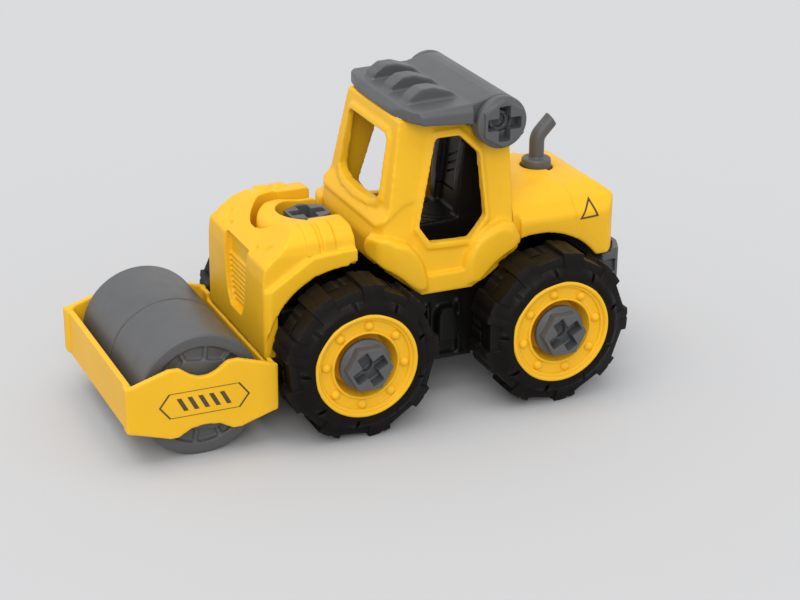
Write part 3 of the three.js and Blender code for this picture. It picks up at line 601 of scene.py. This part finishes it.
def add_chassis():
    """Open tub with side panels, a boss for each wheel bolt and a tower for the hood bolt."""
    floor = 11.5
    body = cut(block(-21.2, 76.2, -18, 18, floor, 34), block(-19.2, 74.2, -16, 16, 13.9, 35))
    panel = [(24.4, 17.6), (30, 17.6), (30, 24.4), (29, 27.6), (25.4, 27.6), (24.4, 24.4)]
    details = both_sides(lambda side: prism(rounded(panel, 0.4), *span(side, 17, 21)))
    details += both_sides(lambda side: block(19, 40, *span(side, 17, 19.6), floor, 13.1))
    for x in (22.4, 32, 34.4):
        details += both_sides(lambda side: block(x, x + 1, *span(side, 17, 19.6), 12.5, 28.4))
    for x in (0, WHEELBASE):
        details += both_sides(lambda side: cylinder(7.6, *span(side, 10, 22.8), x, WHEEL_RADIUS))
    details.append(upright(8, HOOD_BOLT_X, floor, 43.9))
    joined(body, *details)
    holes = [upright(BORE_RADIUS, HOOD_BOLT_X, 5, 60), upright(NUT_POCKET_RADIUS, HOOD_BOLT_X, 5, 36.4, 6)]
    for x in (0, WHEELBASE):
        holes += both_sides(lambda side: cylinder(BORE_RADIUS, *span(side, 6, 24), x, WHEEL_RADIUS))
        holes += both_sides(lambda side: cylinder(NUT_POCKET_RADIUS, *span(side, 6, 14.4),
                                                  x, WHEEL_RADIUS, 6))
    cut(body, *holes)
    softened(body, 0.6, 2)
    piece(body, "chassis_skin", "body", "black_plastic", ["chassis"])


def backrest_grooves():
    """Three slanted grooves and a level one, cut a little way into the front of the backrest."""
    grooves = [moved(turned(block(12, 24, -3.4, 3.4, -0.35, 0.35), 24, "X"), 2.6, 0, 60.5 + lift)
               for lift in (0, 2.4, 4.8)]
    grooves.append(block(16.4, 20, -6, 6, 55, 55.6))
    reach = [(16.3, 54), (21, 54), (21, 68), (15.6, 68)]
    return [common(groove, prism(reach, -8, 8)) for groove in grooves]


def cushion_grooves():
    """Three arcs in the top of the cushion, about a point at the foot of the backrest."""
    arcs = []
    for radius in (6.4, 8.8, 11.2):
        ring = cut(upright(radius, 21, 48.9, 51, 48), upright(radius - 0.6, 21, 48, 52, 48))
        arcs.append(common(ring, block(21.5, 33, -12, 12, 47, 52)))
    return arcs


def add_seat():
    back = [(10.6, 42), (18, 49), (16.6, 62), (15.6, 73), (11.8, 73), (10.6, 60)]
    side_back = [(10.8, 48), (19.4, 48), (18.7, 62), (17.2, 72), (11.9, 72), (10.8, 60)]
    cushion = [(11.2, 42, 0), (32, 42, 0), (33.4, 46.5, 2), (31.6, 49.4, 2), (11.2, 49.8)]
    body = joined(
        block(11, 44, -15.5, 15.5, 40.5, 42.5),
        prism(rounded(cushion, 1), -9.6, 9.6),
        prism(rounded(back, 1.2), -7, 7),
        *both_sides(lambda side: prism(rounded(side_back, 1.4), *span(side, 5.6, 9.3))),
    )
    softened(body, 0.42, 4)
    cut(body, *backrest_grooves(), *cushion_grooves())
    piece(body, "seat_skin", "body", "black_plastic", ["seat"])


# ---- Front hood ---------------------------------------------------------------------------------

def hood_profile():
    """Side outline of the front hood, with its sloping facet over the grille."""
    rear = HOOD_REAR_X
    front = HOOD_FRONT_X
    bottom = HOOD_BOTTOM
    return rounded([(rear, HOOD_SKIRT, 0.3), (NOSE_REAR_X, HOOD_SKIRT, 0.3), (NOSE_REAR_X, bottom, 0.3),
                    (front, bottom, 0.5), (front, 44, 2), (82.1, 48.3, 0.8), (72, 56.9, 1.5),
                    (rear, 57, 1.5)])


def hood_outside():
    """The hood before it is hollowed: the body, and a ledge along each side over the wheel."""
    rear = HOOD_REAR_X
    front = HOOD_FRONT_X
    bottom = HOOD_BOTTOM
    section = mirrored([(22.4, bottom, 0.3), (22.4, 50.9, 0.8), (21.8, 53.6, 2), (18.8, 56.2, 2.4),
                        (14.6, 57, 0.5)])
    half_plan = [(rear, -HOOD_HALF_WIDTH), (81.2, -HOOD_HALF_WIDTH, 0.5), (front, -22.4, 0.5)]
    plan = rounded(mirrored_plan(half_plan), 0.3)
    body = common(
        prism(hood_profile(), -25, 25),
        prism(rounded(section), rear - 1, front + 1, "front"),
        prism(plan, 20, 60, "plan"),
    )
    ledge = rounded([(58.6, 45.1), (58.2, 46.9), (rear, 47.2), (rear, 50.9), (58.4, 51), (68.6, 50.3, 1),
                     (front, 41.4, 0.5), (front, bottom), (81.5, bottom), (77.8, 33.6), (74.6, 40.3),
                     (68, 44.8)], 0.3)
    ledges = both_sides(lambda side: common(prism(ledge, *span(side, 20, HOOD_HALF_WIDTH)),
                                            prism(plan, 20, 60, "plan")))
    return softened(joined(body, *ledges), 0.42, 4)


def hood_cavity():
    rear = HOOD_REAR_X
    profile = [(rear - 1, 23), (77.3, 23), (77.3, 48.2), (71.2, 54.2), (rear - 1, 54.8)]
    section = mirrored([(20.8, 23), (20.8, 50), (17.6, 53.8), (13.8, 54.8)])
    return common(prism(profile, -25, 25), prism(section, rear - 2, HOOD_FRONT_X, "front"))


def hood_well():
    """The well's round nose and the slot behind it."""
    front = HOOD_FRONT_X
    ahead = block(65.6, front, -HOOD_HALF_WIDTH, HOOD_HALF_WIDTH, 45, 60)
    return [
        common(upright(WELL_RADIUS, WELL_CENTRE_X, WELL_FLOOR, 60, 96), ahead),
        block(HOOD_REAR_X - 2, 66, -11.6, 11.6, WELL_FLOOR, 60),
    ]


def hood_trims():
    """Room for the wheels, and for the drum frame's tabs."""
    trims = both_sides(lambda side: block(50, NOSE_REAR_X, *span(side, 15, 30), 20, HOOD_SKIRT))
    trims += both_sides(lambda side: block(76.6, 79, *span(side, 8.4, 16.6), 20, 32.6))
    behind_nose = block(50, 78.6, -30, 30, 20, 50)
    trims.append(common(joined(*wheel_arch(WHEELBASE, HOOD_ARCH_INNER_Y)), behind_nose))
    return trims


def facet_dents():
    """A round dimple and a slanted slash on each side of the sloping facet."""
    dents = both_sides(lambda side: ball(0.95, 80.2, side * 10.3, 50.2))
    for side in (1, -1):
        slash = ball(0.95, 0, 0, 0)
        slash.data.transform(Matrix.Scale(2.4, 4, (0, 1, 0)))
        dents.append(moved(turned(turned(slash, side * 59, "Z"), 41), 78.9, side * 15.2, 51.4))
    return dents


def hood_ribs():
    """Two raised bands over each shoulder."""
    wrap = rounded(mirrored([(23.3, 50), (22.4, 54.1, 2), (19.2, 56.8, 2.4), (15.4, 57.6, 0.5)]), 0.3)
    ribs = []
    for x in RIB_PLACES:
        end = x + RIB_WIDTH
        ribs += both_sides(lambda side: common(prism(wrap, x, end, "front"),
                                               block(x, end, *span(side, 15, 23.3), 50.6, 58)))
    return ribs


def add_front_hood():
    front = HOOD_FRONT_X
    wall_outline = u_shape(WELL_CENTRE_X, WELL_RADIUS + 1.6, HOOD_REAR_X + 0.2)
    well_wall = common(prism(wall_outline, 44.2, 60, "plan"), prism(hood_profile(), -25, 25))
    body = joined(cut(hood_outside(), hood_cavity()), well_wall)
    grille_outline = mirrored([(4.4, 28.2, 2), (6.6, 32), (7.6, 36), (8.4, 41), (8.9, 48.8, 0.6)])
    grille = prism(rounded(grille_outline, 1), front - 2.4, front + 1, "front")
    cut(body, *hood_well(), *wheel_arch(WHEELBASE), *hood_trims(), grille,
        upright(BORE_RADIUS, HOOD_BOLT_X, 40, 60), *facet_dents())
    fins = [block(front - 3, front - 1.7, -11, 11, 29.6 + 1.5 * step, 30.2 + 1.5 * step) for step in range(9)]
    fins_inside = common(joined(*fins), prism(grille_outline, front - 3, front - 0.9, "front"))
    joined(body, fins_inside, *hood_ribs())
    softened(body, 0.3, 2)
    piece(body, "front_hood_skin", "body", "yellow_plastic", ["front_hood"])


def add_bolt_saddle():
    """The dome in the hood's well, open to the rear, that the hood bolt clamps down."""
    rear = SADDLE_REAR_X
    side_outline = [(rear, SADDLE_FLOOR), (75.4, SADDLE_FLOOR), (75.4, 51.6, 1.5), (74, 53.9, 2),
                    (70.5, 55.5, 3), (66, 55.4, 3), (60, 54.5, 4), (rear, 54.4, 1)]
    dome = common(
        prism(u_shape(65, 10.4, rear), SADDLE_FLOOR, 56, "plan"),
        prism(rounded(side_outline), -11, 11),
    )
    softened(dome, 0.4, 12)
    bolt_room = prism(u_shape(HOOD_BOLT_X, 8.8, rear - 2), 48.4, 60, "plan")
    cut(dome, bolt_room, upright(BORE_RADIUS, HOOD_BOLT_X, 40, 60))
    softened(dome, 0.3, 3)
    piece(dome, "bolt_saddle_skin", "body", "yellow_plastic", ["bolt_saddle"])


# ---- Cab and roof -------------------------------------------------------------------------------

SIDE_WINDOW = [(21.7, 48.4), (33.5, 48.8), (37, 53.8), (30.9, 77.4), (23.6, 77.4), (17.9, 71.8), (16.8, 54.2)]


def cab_plan():
    return rounded(mirrored_plan([(CAB_REAR_X - 1, -23.2), (46.4, -23.2, 4), (50.3, -16, 6), (51, -7, 8)]))


def cab_walls(grow):
    """The cab's solid outside, with its front and sides moved outwards by a distance."""
    rear = CAB_REAR_X
    profile = [(rear, 44.6, 0.3), (20.6, 34.6), (38, 34.6), (50.5, 44.6), (50.5, 50.5, 4), (48.6, 55, 3),
               (45.4, 58.8, 3), (41.2, 83.3, 0.6), (20.3, 81.5, 0.4), (rear, 80.6, 0.4)]
    section_half = [(22.9, 34.6, 0), (22.2, 51.5, 6), (17.7, 83.3, 0)]
    shell = [(rear if u < rear + 0.01 else u + grow, v) for u, v in rounded(profile)]
    sides = rounded(mirrored([(u + grow, v, radius) for u, v, radius in section_half]))
    return common(prism(shell, -30, 30), prism(sides, rear - 1, 53, "front"))


def cab_outside():
    """The cab before it is hollowed: stepped in under the windscreen, with a bead round each window."""
    plan = cab_plan()
    outside = common(cab_walls(0), prism(plan, 30, 90, "plan"))
    lower_front = [(37.5, 30), (37.5, 61), (41.4, 59.8, 2), (45, 57, 2), (48.2, 54.8, 2), (50, 54, 1),
                   (53, 53.9), (53, 30)]
    stepped_in = common(cab_walls(-0.5), prism(grown(plan, 0.978), 30, 90, "plan"))
    cut(outside, cut(prism(rounded(lower_front, 0.2), -30, 30), stepped_in))
    side_bead = common(prism(rounded(grown(SIDE_WINDOW, 1.13), 1.6), -30, 30), cab_walls(0.85))
    front_frame = mirrored([(0, 57.2), (9, 57.6), (14.8, 58.7), (15.8, 61), (14.9, 77.8), (13, 79.9)])
    front_bead = common(prism(rounded(front_frame, 1.4), 36, 60, "front"), cab_walls(0.85))
    return softened(joined(outside, side_bead, front_bead), 0.42, 2)


def cab_cavity():
    back = CAB_REAR_X + 1.8
    profile = [(back, 30), (48.2, 30), (48.2, 50), (46.3, 54.2), (43.4, 58), (39.2, 90), (back, 90)]
    section = mirrored([(21, 30), (20.3, 51.5), (15, 90)])
    return common(prism(profile, -30, 30), prism(section, CAB_REAR_X, 50, "front"))


def cab_fenders():
    """Soft bulges over the wheels, built up in layers, which follow the cab's front corners."""
    front_fender = [(34.1, 34.6, 0.3), (37.2, 34.6, 0.3), (42.1, 38.4), (51, 46.3, 1), (51.9, 49, 1.6),
                    (50.4, 51.8, 1.4), (46.6, 52.2, 2), (40.8, 49.9, 3), (38, 47, 3), (35.9, 43.2, 3),
                    (34.4, 38.2, 2)]
    rear_fender = [(19.2, 34.6, 0.3), (23.8, 34.6, 0.3), (24, 40.7, 3), (23.3, 44, 3), (20.6, 48.4, 4),
                   (16.4, 51.1, 4), (11.5, 52.7, 2), (8.2, 51.2, 1.6), (6.1, 47, 1.4), (6.6, 43.5, 0.8),
                   (13.2, 38.3), (16.8, 35.7)]
    layers = []
    for outline in (front_fender, rear_fender):
        for size, outer_y in ((1, 23.9), (0.92, 24.7), (0.8, 25.3)):
            layers += both_sides(lambda side: prism(grown(rounded(outline), size), *span(side, 17, outer_y)))
    wrap = mirrored_plan([(CAB_REAR_X - 3, 25.4, 0), (44.5, 25.4, 5), (49.2, 23.4, 3), (51.9, 17, 2)])
    return softened(common(joined(*layers), prism(rounded(wrap, 1), 30, 60, "plan")), 0.42, 9)


def cab_ears():
    """The lugs inside the roof's tube that hold the roof bolts, with their necks."""
    neck = [(HINGE_X + 0.7, 79), (HINGE_X + 1.1, 72), (HINGE_X + 2.3, 71), (HINGE_X + 7.8, 76.6),
            (HINGE_X + 8.3, 79), (HINGE_X + 3, 81.5)]
    ears = both_sides(lambda side: cylinder(5, *span(side, 14, EAR_OUTER_Y), HINGE_X, HINGE_Z))
    ears += both_sides(lambda side: prism(rounded(neck, 0.5), *span(side, 15, 18.2)))
    return ears


def add_cab():
    sill = rounded([(21, 34.4), (37, 34.4), (37, 39.9, 0.6), (21, 39.9, 0.6)], 0.2)
    sills = both_sides(lambda side: prism(sill, *span(side, 20.6, 24.2)))
    body = cut(joined(cab_outside(), cab_fenders(), *sills), cab_cavity())
    windscreen = mirrored([(0, 58.8), (9, 59.2), (13, 60.2), (14.1, 62), (13.4, 77), (12, 78.4)])
    cut(
        body,
        prism(rounded(SIDE_WINDOW, 1.2), -30, 30),
        prism(rounded(windscreen, 1.2), 36, 60, "front"),
        cylinder(HINGE_RADIUS + 0.3, -30, 30, HINGE_X, HINGE_Z, 96),
        *wheel_arch(WHEELBASE),
        *wheel_arch(0),
    )
    joined(body, *cab_ears())
    cut(body, cylinder(BORE_RADIUS, -30, 30, HINGE_X, HINGE_Z))
    softened(body, 0.42, 2)
    piece(body, "cab_skin", "body", "yellow_plastic", ["cab_shell"])


def hinge_sector(inner, outer, start, end, steps=36):
    angles = [math.radians(start + (end - start) * step / steps) for step in range(steps + 1)]
    outside = [(HINGE_X + outer * math.cos(a), HINGE_Z + outer * math.sin(a)) for a in angles]
    inside = [(HINGE_X + inner * math.cos(a), HINGE_Z + inner * math.sin(a)) for a in reversed(angles)]
    return [*outside, *inside]


def roof_plate():
    profile = [(16, 82.2, 0), (20.3, 81.7), (41, 83.3, 0.4), (41.4, 84.2, 0.4), (39.6, 86.5, 0.8),
               (21.5, 87.2, 0.4), (14.9, 88.9, 0), (13.5, 86, 0)]
    plan = mirrored_plan([(14, -22.4, 0), (21.3, -22.4, 0), (21.6, -24), (36.6, -24, 1.5), (39, -21, 1.5),
                          (40.9, -12, 3), (41.5, 0, 6)])
    section = mirrored([(24, 80, 0), (24, 85.3, 0.5), (22.6, 86.8, 0.5), (22.4, 92, 0)])
    return common(
        prism(rounded(profile, 0.5), -25, 25),
        prism(rounded(plan, 0.4), 78, 92, "plan"),
        prism(rounded(section), 13, 42, "front"),
    )


def add_roof():
    """Roof plate with three raised crescents, and the hinge tube at its rear with a disc at each end."""
    room_radius = HINGE_RADIUS - 2
    disc_inner = EAR_OUTER_Y + 0.4
    body = cut(roof_plate(), cylinder(room_radius, -disc_inner, disc_inner, HINGE_X, HINGE_Z))
    tube = prism(hinge_sector(room_radius, HINGE_RADIUS, 10, 190), -19.8, 19.8)
    discs = both_sides(lambda side: cylinder(HINGE_RADIUS, *span(side, disc_inner, 22.4),
                                             HINGE_X, HINGE_Z, 96))
    crescent = [(37.6, 86, 0), (36.6, 88.4, 1.5), (33.6, 90.5, 2), (29.6, 90.6, 3), (24.4, 88.9, 4),
                (21.8, 86.6, 0)]
    crescents = [prism(rounded(crescent, 1), y - 2.6, y + 2.6) for y in (-12.5, 0, 12.5)]
    joined(body, tube, *discs, *crescents)
    cut(body, cylinder(BORE_RADIUS, -30, 30, HINGE_X, HINGE_Z))
    softened(body, 0.34, 3)
    piece(body, "roof_skin", "roof", "grey_plastic", ["roof"])


# ---- Rear end -----------------------------------------------------------------------------------

def barrel_section(grow):
    """Cross-section of the rear hood, moved outwards by a distance."""
    half = [(22 + grow, 30, 0), (22.2 + grow, 50.4, 4), (19.2 + grow, 54.7 + grow, 5), (14.1, 57.1 + grow, 8),
            (6, 58.1 + grow, 10)]
    return rounded(mirrored(half), 1)


def tail_plan(inset, front_x):
    """Plan of the rear hood from front_x back round its tail, pulled in by a distance."""
    half = [(front_x, 23.2 - inset, 0), (-21.6, 23.2 - inset, 1.5), (-24.6 + inset, 20.2 - inset, 1.5),
            (-27.4 + inset, 15.5 - inset, 4), (-28.6 + inset, 0, 8)]
    return rounded(mirrored_plan(half))


def rear_hood_outside():
    """The barrel behind the cab, and the lower tail behind its leaning rear edge."""
    bottom = REAR_HOOD_BOTTOM
    crease = REAR_CREASE_X
    front = REAR_HOOD_FRONT_X
    lean = [(crease - 0.6, bottom, 0.2), (crease + 0.9, 60, 0.2), (front, 60, 0.2), (front, bottom, 0.2)]
    barrel = common(prism(barrel_section(0.5), crease - 2, front, "front"), prism(rounded(lean), -30, 30))
    tail_profile = [(crease - 0.6, bottom, 0), (crease + 0.9, 60, 0), (-16, 58.6, 2), (-21.5, 56.9, 4),
                    (-25, 54.4, 4), (-27.6, 51, 4), (-28.6, 46.6, 3), (-28.6, bottom, 0)]
    tail = common(
        prism(barrel_section(-0.05), -29, crease + 2, "front"),
        prism(tail_plan(0, crease + 2), bottom, 70, "plan"),
        prism(rounded(tail_profile), -30, 30),
    )
    return softened(joined(softened(tail, 0.4, 8), barrel), 0.32, 1)


def rear_hood_cavity():
    bottom = REAR_HOOD_BOTTOM - 2
    front = REAR_HOOD_FRONT_X + 1
    profile = [(-26.8, bottom), (-26.8, 46.2), (-25.9, 50), (-23.8, 52.7), (-20.8, 54.6), (-15.6, 56),
               (front, 56.2), (front, bottom)]
    return common(
        prism(profile, -30, 30),
        prism(tail_plan(1.8, front), bottom, 70, "plan"),
        prism(barrel_section(-1.8), -30, front, "front"),
    )


def add_rear_hood():
    front = REAR_HOOD_FRONT_X + 1
    fender_rooms = both_sides(lambda side: block(5.6, front, *span(side, 21.3, 24), 40.8, 52.8))
    body = cut(
        rear_hood_outside(),
        rear_hood_cavity(),
        cylinder(TAIL_ARCH_RADIUS, -30, 30, 0, WHEEL_RADIUS, 96),
        upright(4.8, EXHAUST_X, 50, 70),
        *fender_rooms,
    )
    softened(body, 0.34, 2)
    piece(body, "rear_hood_skin", "body", "yellow_plastic", ["rear_hood"])


def add_hood_triangles():
    """Printed sign on each side of the rear hood: a plain triangle outline that follows the rounded side."""
    corners = [(-17, 54.2), (-13.2, 48.6), (-19.3, 48.9)]
    for side in (1, -1):
        outline = cut(prism(corners, *span(side, 12, 24)), prism(grown(corners, 0.72), -40, 40))
        film = cut(prism(barrel_section(0.03), -24, -11, "front"),
                   prism(barrel_section(-0.4), -25, -10, "front"))
        hand = "left" if side > 0 else "right"
        printed(common(outline, film), f"hood_triangle_{hand}")


def tube_along(points, radius, sides=32):
    """A closed round tube of constant radius along a path in the middle plane, given as (x, z) points."""
    shape = bmesh.new()
    rings = []
    for index, point in enumerate(points):
        along = Vector(points[min(index + 1, len(points) - 1)]) - Vector(points[max(index - 1, 0)])
        across = Vector((-along.y, along.x)).normalized()
        ring = []
        for side in range(sides):
            angle = math.tau * side / sides
            place = Vector(point) + across * (radius * math.cos(angle))
            ring.append(shape.verts.new((place.x, radius * math.sin(angle), place.y)))
        rings.append(ring)
    for ring, after in zip(rings, rings[1:]):
        for side in range(sides):
            shape.faces.new((ring[side - 1], ring[side], after[side], after[side - 1]))
    shape.faces.new(rings[0])
    shape.faces.new(rings[-1])
    return as_object(shape)


def add_exhaust():
    """A bent pipe, open at its mouth, on a collar that drops through the hood to a foot."""
    x = EXHAUST_X
    bend = [bezier(Vector((x, 65.4)), Vector((x, 67)), Vector((x - 1, 68.2)), step / 8) for step in range(9)]
    pipe = tube_along([(x, 58), (x, 61), *bend, (x - 5.2, 72.6)], 2.2)
    mouth_cut = prism([(x - 6.6, 68.6), (x - 2.4, 75), (x - 8, 77), (x - 12, 70)], -5, 5)
    profile = [(0, 53.8, 0), (6, 53.8), (6, 55.6), (3.6, 55.6), (3.6, 57, 0.2), (4.3, 57, 0.9),
               (4.3, 60.8, 0.9), (2, 60.8, 0.2), (0, 60.8, 0)]
    collar = moved(stood_up(lathe(rounded(profile, 0.3))), x, 0, 0)
    bore = tube_along([(x - 3.2, 70.4), (x - 7.6, 75.3)], 1.55)
    body = cut(joined(collar, pipe), mouth_cut, bore)
    softened(body, 0.22, 2)
    piece(body, "exhaust_skin", "body", "grey_plastic", ["exhaust_stack"])


def add_bumper():
    front = -21.5
    plan = mirrored_plan([(front, 21.4), (-26.9, 21, 1), (-29.6, 15, 2), (-31, 0, 8)])
    profile = [(front, 28.5), (-29.6, 28.5, 0.8), (-31, 30, 0.8), (-31, 36.2, 1), (-29.2, 37.8, 0.8),
               (front, 37.8)]
    body = common(prism(rounded(plan, 0.4), 28, 38, "plan"), prism(rounded(profile, 0.3), -30, 30))
    cut(
        body,
        prism(tail_plan(-0.3, REAR_CREASE_X), REAR_HOOD_BOTTOM - 0.3, 40, "plan"),
        *both_sides(lambda side: cylinder(TAIL_ARCH_RADIUS, *span(side, 18.3, 30), 0, WHEEL_RADIUS, 96)),
        *both_sides(lambda side: block(-26, -20, *span(side, 19.4, 24), 30.4, 34.4)),
    )
    softened(body, 0.28, 2)
    piece(body, "bumper_skin", "body", "grey_plastic", ["rear_bumper"])


def add_other_bolts():
    hood_bolt = moved(stood_up(bolt(30, 48.7, 54.4, 7.6, 1.6)), HOOD_BOLT_X, 0, 0)
    piece(hood_bolt, "hood_bolt_skin", "body", "grey_plastic", ["hood_bolt"])
    for hand, half_turn in (("left", 0), ("right", 180)):
        body = turned(bolt(14, 22.7, 26.2, HINGE_RADIUS, 2.6), half_turn, "Z")
        moved(body, HINGE_X, 0, HINGE_Z)
        piece(body, f"roof_bolt_{hand}_skin", "roof", "grey_plastic", [f"roof_bolt_{hand}"])


# ---- Studio -------------------------------------------------------------------------------------

def add_floor():
    shape = bmesh.new()
    bmesh.ops.create_grid(shape, x_segments=1, y_segments=1, size=4)
    floor = as_object(shape)
    floor.name = "floor"
    floor.location.z = CAD_BOX[0][2] - 0.00005
    material = bpy.data.materials.new("pale floor")
    material.use_nodes = True
    shader = material.node_tree.nodes["Principled BSDF"]
    shader.inputs["Base Color"].default_value = (0.515, 0.515, 0.521, 1)
    shader.inputs["Roughness"].default_value = 0.9
    shader.inputs["Specular IOR Level"].default_value = 0.1
    floor.data.materials.append(material)


def add_sun(name, direction, strength, angle):
    light = bpy.data.lights.new(name, "SUN")
    light.energy = strength
    light.angle = math.radians(angle)
    sun = bpy.data.objects.new(name, light)
    sun.rotation_euler = Vector(direction).to_track_quat("Z", "Y").to_euler()
    bpy.context.scene.collection.objects.link(sun)


def add_studio():
    world = bpy.data.worlds.new("studio")
    world.use_nodes = True
    background = world.node_tree.nodes["Background"]
    background.inputs["Color"].default_value = (0.98, 0.99, 1, 1)
    background.inputs["Strength"].default_value = 0.86
    bpy.context.scene.world = world
    add_sun("overhead", (0.15, 0.1, 1), 1.15, 50)
    add_sun("key", (0.35, 0.85, 0.6), 0.95, 30)
    bpy.context.scene.view_settings.view_transform = "Standard"


def add_camera():
    lens = bpy.data.cameras.new("camera")
    lens.lens = 92.83
    lens.sensor_width = 36
    camera = bpy.data.objects.new("camera", lens)
    right = Vector((-0.91415, 0.40533, 0.00658))
    up = Vector((-0.15223, -0.35829, 0.92112))
    back = right.cross(up)
    camera.matrix_world = Matrix((
        (right.x, up.x, back.x, 0.20982),
        (right.y, up.y, back.y, 0.50091),
        (right.z, up.z, back.z, 0.25469),
        (0, 0, 0, 1),
    ))
    bpy.context.scene.collection.objects.link(camera)
    bpy.context.scene.camera = camera


for name in ("rear_left", "rear_right", "front_left", "front_right"):
    frame["nodes"][f"{name}_axle_nut"].data.materials[0] = FINISHES["black_plastic"]
frame["nodes"]["hood_nut"].data.materials[0] = FINISHES["black_plastic"]
frame["nodes"]["drum_axle"].data.materials[0] = FINISHES["steel"]

add_camera()
add_wheels()
add_drum()
add_drum_frame()
add_frame_stripes()
add_chassis()
add_seat()
add_front_hood()
add_bolt_saddle()
add_cab()
add_roof()
add_rear_hood()
add_hood_triangles()
add_exhaust()
add_bumper()
add_other_bolts()
add_floor()
add_studio()

bpy.context.view_layer.update()
